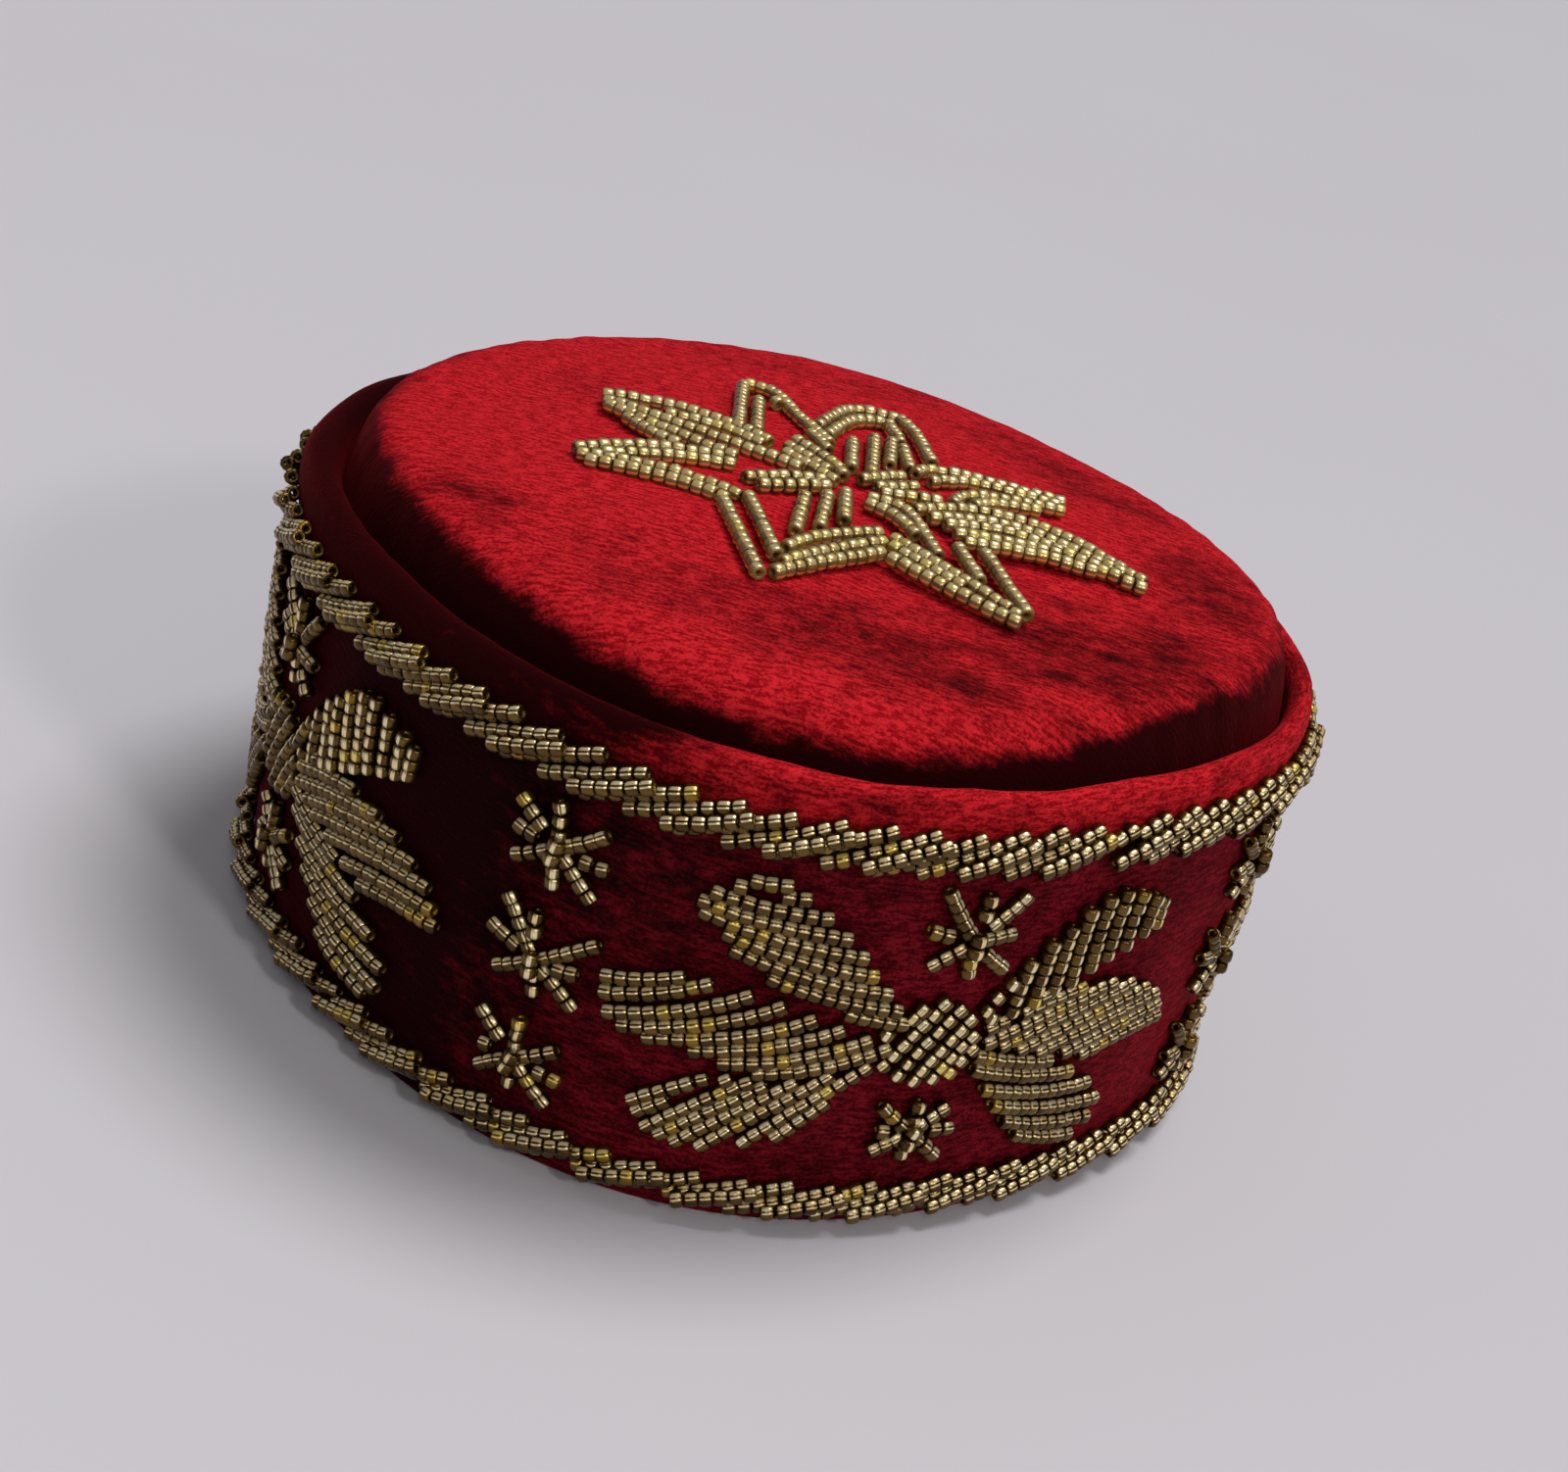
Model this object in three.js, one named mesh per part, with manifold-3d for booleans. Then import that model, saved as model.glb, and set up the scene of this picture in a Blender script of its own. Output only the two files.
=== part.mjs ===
// Beaded velvet cap: a padded round crown inside a rolled rim, on an upright band,
// with two beaded borders, four beaded flowers, twenty small stars and a star on the crown.
// Millimetres, +Z up. The cap stands on its hem at z = 0, its front faces -Y,
// and the middle of its box is on the Z axis.
import * as THREE from "three";
import { mergeVertices } from "three/addons/utils/BufferGeometryUtils.js";
import Module from "manifold-3d";

const wasm = await Module();
wasm.setup();

// Driving dimensions of the velvet body
const rimRadius = 95.2; // outside of the band at the height of the rim's crest
const hemInset = 3; // how much the band narrows from there to the hem
const bandHeight = 88.6; // hem to the crest of the rolled rim
const wallThickness = 3; // velvet, stiffening and its turned hem
const rollHeight = 9.5; // the rolled rim, from where it swells to its crest
const rollWidth = 6.5; // the rolled rim, from outside to the padded panel of the crown
const crownRight = 1.5; // the panel is sewn in a little off the middle
const crownForward = 1;
const crownRise = 13.4; // the top of the dome above the rim's crest
const crownSag = 4; // how far the dome falls towards its edge before it turns down
const crownPadding = 14; // thickness of the panel at its middle
const grooveDepth = 7; // from the rim's crest down to the seam round the crown
const seamGap = 0.3; // between a piece and what it is sewn to

// Driving dimensions of the beadwork
const beadDiameter = 3; // how far the beadwork stands off the velvet, and the width of a row
const rowValley = 2.1; // height of the beadwork between two rows
const upperBorderDrop = 16; // from the rim's crest down to the lower edge of the border under it
const upperBorderHeight = 10.8;
const lowerBorderLow = 1.8; // lower edge of the border over the hem
const lowerBorderHeight = 8.8;
const borderRowLength = 20;
const borderStep = 7.9; // along the band from one row of a border to the next
const flowerSpan = 69.7; // degrees of the band that a flower takes up
const flowerHeight = 58;
const flowerMiddle = 39.7; // height of a flower's middle
const flowerCount = 4;
const firstFlowerAngle = -64.6; // degrees from +X
const starRadius = 9.2;
const crownStarWidth = 114;
const crownStarRight = 3; // the crown's star is sewn on a little off the crown's middle
const crownStarForward = 2.1;

// Fineness of the facets
const bandSides = 56;
const crownSides = 44;
const borderRowSteps = 1;

// The band is a little off round: each wave is a share of the radius
const bandWaves = [
  { waves: 2, cos: 0.011, sin: -0.011 },
  { waves: 3, cos: 0.011, sin: 0.007 },
  { waves: 4, cos: 0.02, sin: 0.003 },
];

// The rolled rim, from outside to inside: across in shares of its width, up in shares of its height
const rollProfile = [
  { across: 0, up: 0 },
  { across: -0.05, up: 0.38 },
  { across: 0.05, up: 0.78 },
  { across: 0.4, up: 1 },
  { across: 0.78, up: 0.88 },
  { across: 1, up: 0.5 },
];

// Rings of the crown, in shares of its radius
const crownRings = [0, 0.45, 0.78, 0.92, 0.97, 0.99, 1];

// The underside of the crown: out in shares of its radius, up in shares of the height of its middle
const crownUnderside = [
  { out: 0.96, up: 0 },
  { out: 0.7, up: 0.65 },
  { out: 0, up: 1 },
];

// Petals of a flower, and its middle: rows of beads whose ends lie on two curves,
// in shares of half the flower's width and height. A bow above 0 bends a row to the left of its run.
// Steps are the straight pieces of a row: a row that runs round the band needs two.
const petals = [
  {
    name: "upper_left", rows: 8, bow: -0.02, steps: 2,
    starts: [[-0.66, 1.0], [-0.78, 0.82], [-0.72, 0.62], [-0.46, 0.29]],
    ends: [[-0.54, 1.02], [-0.35, 0.77], [-0.22, 0.45], [-0.12, 0.17]],
  },
  {
    name: "left", rows: 7, bow: -0.04, steps: 2,
    starts: [[-1.0, 0.1], [-0.955, -0.14], [-0.78, -0.21], [-0.52, -0.26]],
    ends: [[-0.76, 0.28], [-0.53, 0.25], [-0.31, 0.13], [-0.1, 0.01]],
  },
  {
    name: "lower_left", rows: 6, bow: 0.02, steps: 2,
    starts: [[-0.84, -0.66], [-0.76, -0.82], [-0.64, -0.86], [-0.4, -0.72]],
    ends: [[-0.63, -0.36], [-0.44, -0.26], [-0.26, -0.17], [-0.07, -0.1]],
  },
  {
    name: "middle", rows: 5, bow: 0, steps: 1,
    starts: [[-0.155, 0.05], [-0.125, -0.17], [-0.02, -0.29], [0.1, -0.24]],
    ends: [[-0.1, 0.27], [0.03, 0.32], [0.14, 0.2], [0.185, -0.02]],
  },
  {
    name: "upper_right", rows: 9, bow: 0, steps: 1,
    starts: [[0.1, 0.04], [0.37, 0.24], [0.58, 0.44], [0.79, 0.63]],
    ends: [[0.21, 0.36], [0.36, 0.74], [0.57, 0.98], [0.8, 0.85]],
  },
  {
    name: "right", rows: 7, bow: 0.03, steps: 2,
    starts: [[0.12, 0.1], [0.22, -0.04], [0.4, -0.14], [0.64, -0.26]],
    ends: [[0.45, 0.31], [0.73, 0.25], [0.94, 0.09], [1.02, -0.15]],
  },
  {
    name: "lower_right", rows: 6, bow: -0.03, steps: 2,
    starts: [[0.14, -0.07], [0.24, -0.33], [0.34, -0.56], [0.46, -0.8]],
    ends: [[0.52, -0.25], [0.72, -0.48], [0.84, -0.73], [0.76, -0.93]],
  },
];

// Stars round one flower: degrees from the flower's middle, height as a share of the band's,
// size as a share of the largest
const starPlaces = [
  { turn: 1.4, height: 0.691, size: 1 },
  { turn: 1.2, height: 0.237, size: 0.82 },
  { turn: 48, height: 0.703, size: 1 },
  { turn: 48, height: 0.4515, size: 1 },
  { turn: 48, height: 0.2257, size: 0.88 },
];
const starArms = 8;
const armWidth = 0.3; // shares of the star's radius
const armFoot = 0.4;

// Bundles of bead strings on the crown, in shares of half the star's width from its middle.
// A bundle's rows close up at the named end.
const bundles = [
  { from: [-0.89, 0.33], to: [-0.27, 0.16], rows: 4, bow: 0.11, closes: "from" },
  { from: [-0.89, 0.29], to: [-0.37, -0.01], rows: 2, bow: 0, closes: "from" },
  { from: [-0.35, 0.15], to: [-0.06, 0.02], rows: 2, bow: 0, closes: "none" },
  { from: [-0.89, -0.24], to: [-0.39, -0.04], rows: 2, bow: 0.1, closes: "from" },
  { from: [-0.88, -0.28], to: [-0.36, -0.37], rows: 3, bow: 0.05, closes: "from" },
  { from: [-0.39, -0.36], to: [-0.21, -0.86], rows: 1, bow: 0, closes: "none" },
  { from: [-0.19, -0.79], to: [0.14, -0.44], rows: 3, bow: 0.06, closes: "none" },
  { from: [0.1, -0.42], to: [0.6, -0.68], rows: 3, bow: 0, closes: "to" },
  { from: [-0.06, -0.08], to: [-0.06, -0.55], rows: 1, bow: 0, closes: "none" },
  { from: [0, -0.02], to: [0.01, -0.47], rows: 1, bow: 0, closes: "none" },
  { from: [-0.3, -0.18], to: [-0.02, 0], rows: 2, bow: 0.12, closes: "none" },
  { from: [-0.23, 0.2], to: [-0.01, 0.01], rows: 2, bow: 0.14, closes: "none" },
  { from: [-0.47, 0.76], to: [-0.42, 0.27], rows: 1, bow: 0, closes: "none" },
  { from: [-0.46, 0.77], to: [-0.1, 0.28], rows: 2, bow: 0.12, closes: "to" },
  { from: [-0.14, 0.34], to: [0.11, 0.82], rows: 2, bow: 0.15, closes: "none" },
  { from: [0.1, 0.83], to: [0.22, 0.28], rows: 2, bow: 0, closes: "none" },
  { from: [-0.04, 0.45], to: [0.02, 0.02], rows: 1, bow: 0, closes: "none" },
  { from: [0.18, 0.28], to: [0.74, 0.4], rows: 3, bow: 0.06, closes: "to" },
  { from: [0.34, 0.06], to: [0.72, 0.35], rows: 2, bow: 0.14, closes: "none" },
  { from: [0.26, -0.11], to: [1.0, -0.12], rows: 4, bow: 0.1, closes: "to" },
  { from: [0.47, -0.14], to: [0.61, -0.66], rows: 1, bow: 0, closes: "none" },
  { from: [0.03, -0.1], to: [0.31, -0.46], rows: 3, bow: 0.13, closes: "to" },
  { from: [0.0, 0.0], to: [0.35, 0.04], rows: 2, bow: 0, closes: "none" },
  { from: [0.02, 0.05], to: [0.26, 0.24], rows: 1, bow: 0, closes: "none" },
];

// What follows from the driving dimensions
const hemRadius = rimRadius - hemInset;
const crownRadius = rimRadius - rollWidth;
const crownTop = bandHeight + crownRise;
const upperBorderLow = bandHeight - upperBorderDrop;
const rollLow = bandHeight - rollHeight;
const crownFoot = bandHeight - grooveDepth;
const crownEdgeDrop = crownTop - crownFoot - crownSag;
const crownEdgeSharpness = 40; // how late the dome turns down at its edge
const baseRadius = (rimRadius + hemRadius) / 2; // turns a length along the band into an angle
const flowerWidth = THREE.MathUtils.degToRad(flowerSpan) * baseRadius;

function roundness(angle) {
  return bandWaves.reduce(
    (sum, wave) => sum + wave.cos * Math.cos(wave.waves * angle) + wave.sin * Math.sin(wave.waves * angle),
    1,
  );
}

// Outside radius of the velvet band at a height
function bandRadius(angle, height) {
  return THREE.MathUtils.lerp(hemRadius, rimRadius, height / bandHeight) * roundness(angle);
}

function onBand(angle, height, proud) {
  const radius = bandRadius(angle, height) + proud;
  return new THREE.Vector3(radius * Math.cos(angle), radius * Math.sin(angle), height);
}

// A point of the seam round the crown
function onSeam(angle, height) {
  const radius = crownRadius * roundness(angle) + seamGap;
  return new THREE.Vector3(
    crownRight + radius * Math.cos(angle),
    radius * Math.sin(angle) - crownForward,
    height,
  );
}

// Height of the dome at a share of its radius
function crownHeight(out) {
  return crownTop - crownSag * out ** 2 - crownEdgeDrop * out ** crownEdgeSharpness;
}

// A point over the crown, measured from the middle of its star
function onCrown(x, y, proud) {
  const across = x + crownStarRight;
  const along = y - crownStarForward;
  const edge = crownRadius * roundness(Math.atan2(along, across));
  const height = crownHeight(Math.hypot(across, along) / edge);
  return new THREE.Vector3(across + crownRight, along - crownForward, height + proud);
}

// A closed mesh from its corners and its flat faces, each face a ring of corner numbers
function closedGeometry(corners, faces) {
  const index = faces.flatMap((face) =>
    face.slice(2).flatMap((corner, i) => [face[0], face[i + 1], corner]),
  );
  const geometry = new THREE.BufferGeometry();
  geometry.setAttribute("position", new THREE.Float32BufferAttribute(corners.flatMap((p) => p.toArray()), 3));
  geometry.setIndex(index);
  return geometry;
}

// A four-sided face, turned so that it is split along its shorter diagonal
function shortSplit(corners, face) {
  const [a, b, c, d] = face.map((corner) => corners[corner]);
  return a.distanceTo(c) <= b.distanceTo(d) ? face : [face[1], face[2], face[3], face[0]];
}

// Rings of points, each ring joined to the next and the last to the first
function ringGeometry(rings) {
  const size = rings[0].length;
  const faces = [];
  rings.forEach((ring, i) => {
    const next = (i + 1) % rings.length;
    for (let j = 0; j < size; j += 1) {
      const k = (j + 1) % size;
      faces.push([i * size + j, next * size + j, next * size + k, i * size + k]);
    }
  });
  return closedGeometry(rings.flat(), faces);
}

function sideBand() {
  const rings = [];
  for (let i = 0; i < bandSides; i += 1) {
    const angle = (i / bandSides) * 2 * Math.PI;
    const roll = rollProfile.map((p) => {
      const height = rollLow + p.up * rollHeight;
      return onBand(angle, height, 0).lerp(onSeam(angle, height), p.across);
    });
    rings.push([
      onBand(angle, 0, 0),
      ...roll,
      onSeam(angle, crownFoot),
      onBand(angle, rollLow, -wallThickness),
      onBand(angle, 0, -wallThickness),
    ]);
  }
  return ringGeometry(rings);
}

// A turned panel, then drawn out to the band's shape
function crownPanel() {
  const top = crownRings.map((out) => new THREE.Vector2(out * crownRadius, crownHeight(out)));
  const middleLift = crownTop - crownPadding - crownFoot;
  const under = crownUnderside.map((p) => new THREE.Vector2(p.out * crownRadius, crownFoot + p.up * middleLift));
  const geometry = new THREE.LatheGeometry([...top, ...under].reverse(), crownSides);
  geometry.rotateX(Math.PI / 2);
  const position = geometry.getAttribute("position");
  for (let i = 0; i < position.count; i += 1) {
    const share = roundness(Math.atan2(position.getY(i), position.getX(i)));
    position.setXY(i, position.getX(i) * share + crownRight, position.getY(i) * share - crownForward);
  }
  return geometry;
}

// Points along a row from one end to the other, bent sideways by its bow
function rowLine(from, to, bow, steps) {
  const side = new THREE.Vector2(from.y - to.y, to.x - from.x).multiplyScalar(bow);
  const points = [];
  for (let j = 0; j <= steps; j += 1) {
    const v = j / steps;
    points.push(from.clone().lerp(to, v).addScaledVector(side, 4 * v * (1 - v)));
  }
  return points;
}

// The line between two rows: it ends where the shorter of the two ends, which makes toothed edges
function valleyLine(a, b, steps) {
  const run = a.to.clone().sub(a.from).add(b.to).sub(b.from).normalize();
  const from = a.from.clone().add(b.from).multiplyScalar(0.5);
  const to = a.to.clone().add(b.to).multiplyScalar(0.5);
  const inset = beadDiameter / 4;
  const low = Math.max(a.from.dot(run), b.from.dot(run)) + inset;
  const high = Math.max(low + inset, Math.min(a.to.dot(run), b.to.dot(run)) - inset);
  from.addScaledVector(run, low - from.dot(run));
  to.addScaledVector(run, high - to.dot(run));
  return rowLine(from, to, (a.bow + b.bow) / 2, steps);
}

// The outer edge of a first or last row, half a bead away from its middle line
function edgeLine(row, side, steps) {
  const run = row.to.clone().sub(row.from).normalize();
  const offset = new THREE.Vector2(-run.y, run.x).multiplyScalar((side * beadDiameter) / 2);
  const inset = run.clone().multiplyScalar(beadDiameter / 4);
  return rowLine(row.from.clone().add(offset).add(inset), row.to.clone().add(offset).sub(inset), row.bow, steps);
}

// One solid from a field of bead rows. Lines go: edge, row, valley, row ... edge,
// or row, valley round a closed ring. Rows stand proud of the valleys, and place() puts
// a point of the flat drawing on the velvet.
function rowsGeometry(lines, isRow, place, closed) {
  const count = lines.length;
  const steps = lines[0].length - 1;
  const corners = [];
  const top = [];
  const bottom = [];
  lines.forEach((line, i) => {
    top.push(line.map((p) => corners.push(place(p, isRow(i) ? beadDiameter : rowValley)) - 1));
    bottom.push(isRow(i) ? [] : line.map((p) => corners.push(place(p, seamGap)) - 1));
  });
  const faces = [];
  const strips = closed ? count : count - 1;
  for (let i = 0; i < strips; i += 1) {
    const k = (i + 1) % count;
    const valley = isRow(i) ? k : i;
    for (let j = 0; j < steps; j += 1) {
      faces.push(shortSplit(corners, [top[i][j], top[i][j + 1], top[k][j + 1], top[k][j]]));
    }
    faces.push([top[i][0], top[k][0], bottom[valley][0]]);
    faces.push([top[k][steps], top[i][steps], bottom[valley][steps]]);
  }
  for (let row = 0; row < count; row += 1) {
    if (!isRow(row)) continue;
    const a = (row + count - 1) % count;
    const b = (row + 1) % count;
    for (let j = 0; j < steps; j += 1) {
      faces.push(shortSplit(corners, [bottom[a][j], bottom[b][j], bottom[b][j + 1], bottom[a][j + 1]]));
    }
    faces.push([bottom[a][0], top[row][0], bottom[b][0]]);
    faces.push([bottom[b][steps], top[row][steps], bottom[a][steps]]);
  }
  if (!closed) {
    const last = count - 1;
    for (let j = 0; j < steps; j += 1) {
      faces.push([top[0][j + 1], top[0][j], bottom[0][j], bottom[0][j + 1]]);
      faces.push([top[last][j], top[last][j + 1], bottom[last][j + 1], bottom[last][j]]);
    }
  }
  return facingOut(closedGeometry(corners, faces));
}

// Turns a closed mesh the right way out
function facingOut(geometry) {
  const position = geometry.getAttribute("position");
  const index = geometry.getIndex().array;
  const [a, b, c] = [new THREE.Vector3(), new THREE.Vector3(), new THREE.Vector3()];
  let volume = 0;
  for (let i = 0; i < index.length; i += 3) {
    a.fromBufferAttribute(position, index[i]);
    b.fromBufferAttribute(position, index[i + 1]);
    c.fromBufferAttribute(position, index[i + 2]);
    volume += a.dot(b.cross(c)) / 6;
  }
  if (volume < 0) index.reverse();
  return geometry;
}

// A pad of rows side by side
function padGeometry(rows, steps, place) {
  const first = rows[0];
  const last = rows[rows.length - 1];
  const across = new THREE.Vector2(first.from.y - first.to.y, first.to.x - first.from.x);
  const side = last.from.clone().add(last.to).sub(first.from).sub(first.to).dot(across) < 0 ? -1 : 1;
  const lines = [edgeLine(first, -side, steps)];
  rows.forEach((row, i) => {
    lines.push(rowLine(row.from, row.to, row.bow, steps));
    if (i < rows.length - 1) lines.push(valleyLine(row, rows[i + 1], steps));
  });
  lines.push(edgeLine(last, side, steps));
  return rowsGeometry(lines, (i) => i % 2 === 1, place, false);
}

function toSolid(geometry) {
  const bare = geometry.clone();
  bare.deleteAttribute("normal");
  bare.deleteAttribute("uv");
  const merged = mergeVertices(bare);
  return new wasm.Manifold(
    new wasm.Mesh({
      numProp: 3,
      vertProperties: new Float32Array(merged.getAttribute("position").array),
      triVerts: new Uint32Array(merged.getIndex().array),
    }),
  );
}

function fused(geometries) {
  const mesh = geometries.map(toSolid).reduce((sum, solid) => sum.add(solid)).getMesh();
  const geometry = new THREE.BufferGeometry();
  geometry.setAttribute("position", new THREE.BufferAttribute(mesh.vertProperties, 3));
  geometry.setIndex(new THREE.BufferAttribute(mesh.triVerts, 1));
  return geometry;
}

// A ring of slanted rows round the band, each row overlapping the next
function borderGeometry(low, height) {
  const count = Math.round((2 * Math.PI * baseRadius) / borderStep);
  const rise = height - beadDiameter;
  const run = Math.sqrt(borderRowLength ** 2 - rise ** 2);
  const rows = [];
  for (let k = 0; k <= count; k += 1) {
    const start = (k / count) * 2 * Math.PI * baseRadius;
    const from = new THREE.Vector2(start, low + beadDiameter / 2);
    rows.push({ from, to: new THREE.Vector2(start + run, from.y + rise), bow: 0 });
  }
  const lines = [];
  for (let k = 0; k < count; k += 1) {
    lines.push(rowLine(rows[k].from, rows[k].to, 0, borderRowSteps));
    lines.push(valleyLine(rows[k], rows[k + 1], borderRowSteps));
  }
  const place = (p, proud) => onBand(p.x / baseRadius, p.y, proud);
  return rowsGeometry(lines, (i) => i % 2 === 0, place, true);
}

function flowerGeometry(middleAngle) {
  const place = (p, proud) => onBand(middleAngle + p.x / baseRadius, flowerMiddle + p.y, proud);
  const scaled = ([x, y]) => new THREE.Vector2((x * flowerWidth) / 2, (y * flowerHeight) / 2);
  return fused(petals.map((petal) => {
    const starts = new THREE.SplineCurve(petal.starts.map(scaled));
    const ends = new THREE.SplineCurve(petal.ends.map(scaled));
    const rows = [];
    for (let k = 0; k < petal.rows; k += 1) {
      const share = k / (petal.rows - 1);
      rows.push({ from: starts.getPoint(share), to: ends.getPoint(share), bow: petal.bow });
    }
    return padGeometry(rows, petal.steps, place);
  }));
}

// A star with blunt arms, highest at its middle. An arm has five corners:
// two at its tip, one in the notch after it, and one under its tip and under the notch.
function starGeometry(middleAngle, middleHeight, radius) {
  const place = (p, proud) => onBand(middleAngle + p.x / baseRadius, middleHeight + p.y, proud);
  const corners = [];
  for (let arm = 0; arm < starArms; arm += 1) {
    const angle = (arm / starArms) * 2 * Math.PI;
    const run = new THREE.Vector2(Math.cos(angle), Math.sin(angle));
    const side = new THREE.Vector2(-run.y, run.x).multiplyScalar((armWidth * radius) / 2);
    const tip = run.clone().multiplyScalar(radius);
    const notch = run.clone().rotateAround(new THREE.Vector2(), Math.PI / starArms).multiplyScalar(armFoot * radius);
    corners.push(place(tip.clone().sub(side), rowValley), place(tip.clone().add(side), rowValley));
    corners.push(place(notch, rowValley), place(tip, seamGap), place(notch, seamGap));
  }
  const topMiddle = corners.push(place(new THREE.Vector2(), beadDiameter)) - 1;
  const bottomMiddle = corners.push(place(new THREE.Vector2(), seamGap)) - 1;
  const faces = [];
  for (let arm = 0; arm < starArms; arm += 1) {
    const [right, left, notch, underTip, underNotch] = [0, 1, 2, 3, 4].map((corner) => arm * 5 + corner);
    const lastArm = (arm + starArms - 1) % starArms;
    const [lastNotch, lastUnderNotch] = [lastArm * 5 + 2, lastArm * 5 + 4];
    faces.push([topMiddle, lastNotch, right], [topMiddle, right, left], [topMiddle, left, notch]);
    faces.push([bottomMiddle, underTip, lastUnderNotch], [bottomMiddle, underNotch, underTip]);
    faces.push([lastNotch, lastUnderNotch, underTip, right], [right, underTip, left]);
    faces.push([left, underTip, underNotch, notch]);
  }
  return facingOut(closedGeometry(corners, faces));
}

function crownStarGeometry() {
  const half = crownStarWidth / 2;
  const closed = 0.35; // row spacing where a bundle closes up, as a share of the open spacing
  return fused(bundles.map((bundle) => {
    const from = new THREE.Vector2(...bundle.from).multiplyScalar(half);
    const to = new THREE.Vector2(...bundle.to).multiplyScalar(half);
    const aside = new THREE.Vector2(from.y - to.y, to.x - from.x).setLength(beadDiameter);
    const rows = [];
    for (let k = 0; k < bundle.rows; k += 1) {
      const place = (bundle.rows - 1) / 2 - k;
      rows.push({
        from: from.clone().addScaledVector(aside, place * (bundle.closes === "from" ? closed : 1)),
        to: to.clone().addScaledVector(aside, place * (bundle.closes === "to" ? closed : 1)),
        bow: bundle.bow,
      });
    }
    return padGeometry(rows, bundle.bow === 0 ? 1 : 2, (p, proud) => onCrown(p.x, p.y, proud));
  }));
}

const cap = new THREE.Group();

function addMesh(name, geometry, look) {
  const mesh = new THREE.Mesh(geometry, new THREE.MeshStandardMaterial(look));
  mesh.name = name;
  cap.add(mesh);
}

const bandVelvet = { color: 0x6e0a12, roughness: 0.95, metalness: 0 };
const crownVelvet = { color: 0xa31019, roughness: 0.95, metalness: 0 };
const goldBeads = { color: 0xc79c52, roughness: 0.28, metalness: 1 };

addMesh("side_band", sideBand(), bandVelvet);
addMesh("crown_panel", crownPanel(), crownVelvet);
addMesh("upper_border", borderGeometry(upperBorderLow, upperBorderHeight), goldBeads);
addMesh("lower_border", borderGeometry(lowerBorderLow, lowerBorderHeight), goldBeads);
for (let flower = 0; flower < flowerCount; flower += 1) {
  const degrees = firstFlowerAngle + (flower * 360) / flowerCount;
  addMesh(`flower_${flower + 1}`, flowerGeometry(THREE.MathUtils.degToRad(degrees)), goldBeads);
  starPlaces.forEach((star, i) => {
    const geometry = starGeometry(
      THREE.MathUtils.degToRad(degrees + star.turn),
      star.height * bandHeight,
      starRadius * star.size,
    );
    addMesh(`star_${flower + 1}_${i + 1}`, geometry, goldBeads);
  });
}
addMesh("crown_star", crownStarGeometry(), goldBeads);

// The middle of the cap's box goes on the Z axis
const middle = new THREE.Box3().setFromObject(cap).getCenter(new THREE.Vector3());
cap.position.set(-middle.x, -middle.y, 0);

export default cap;
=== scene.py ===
"""Looks of a beaded velvet cap: velvet, seed beads, floor, lights and camera.

Lengths are millimetres in the drawing functions and metres in every Blender object.
The drawing's origin is the middle of the band on the floor, +Z up, front towards -Y.
"""
import math

import bmesh
import bpy
import numpy as np
from mathutils import Matrix, Vector


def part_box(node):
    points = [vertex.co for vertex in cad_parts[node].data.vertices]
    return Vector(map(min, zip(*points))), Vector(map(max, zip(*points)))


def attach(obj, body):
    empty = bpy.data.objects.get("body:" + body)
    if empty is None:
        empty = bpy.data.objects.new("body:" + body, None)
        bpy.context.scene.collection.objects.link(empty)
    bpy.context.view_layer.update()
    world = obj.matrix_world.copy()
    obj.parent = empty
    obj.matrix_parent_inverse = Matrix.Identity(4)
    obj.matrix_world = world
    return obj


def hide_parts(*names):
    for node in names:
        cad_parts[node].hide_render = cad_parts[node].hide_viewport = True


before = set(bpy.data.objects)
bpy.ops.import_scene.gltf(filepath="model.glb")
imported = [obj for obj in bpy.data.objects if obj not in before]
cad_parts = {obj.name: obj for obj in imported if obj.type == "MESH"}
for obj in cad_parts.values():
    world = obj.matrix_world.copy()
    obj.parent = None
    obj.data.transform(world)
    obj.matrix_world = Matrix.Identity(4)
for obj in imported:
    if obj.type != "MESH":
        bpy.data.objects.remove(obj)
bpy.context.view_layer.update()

MM = 0.001
FULL_TURN = 2 * math.pi

# Velvet body, as in the solids
RIM_RADIUS = 95.2
HEM_RADIUS = 92.2
BAND_HEIGHT = 88.6
WALL = 3.0
ROLL_HEIGHT = 9.5
CROWN_RADIUS = 88.7
CROWN_RIGHT = 1.5
CROWN_FORWARD = 1.0
CROWN_TOP = 102.0
CROWN_SAG = 4.0
CROWN_PADDING = 14.0
GROOVE_DEPTH = 7.0
ROLL_LOW = BAND_HEIGHT - ROLL_HEIGHT
CROWN_FOOT = BAND_HEIGHT - GROOVE_DEPTH
EDGE_DROP = CROWN_TOP - CROWN_FOOT - CROWN_SAG
EDGE_SHARPNESS = 40
# How the band is out of round: waves in a turn, and the shares of its radius by cosine and sine
BAND_WAVES = ((2, 0.011, -0.011), (3, 0.011, 0.007), (4, 0.02, 0.003))
# Outline of the band's solid: its sides, and its rolled rim's widest place, in shares inwards and up
SOLID_SIDES = 56
ROLL_BULGE = (-0.05, 0.38)

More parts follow.
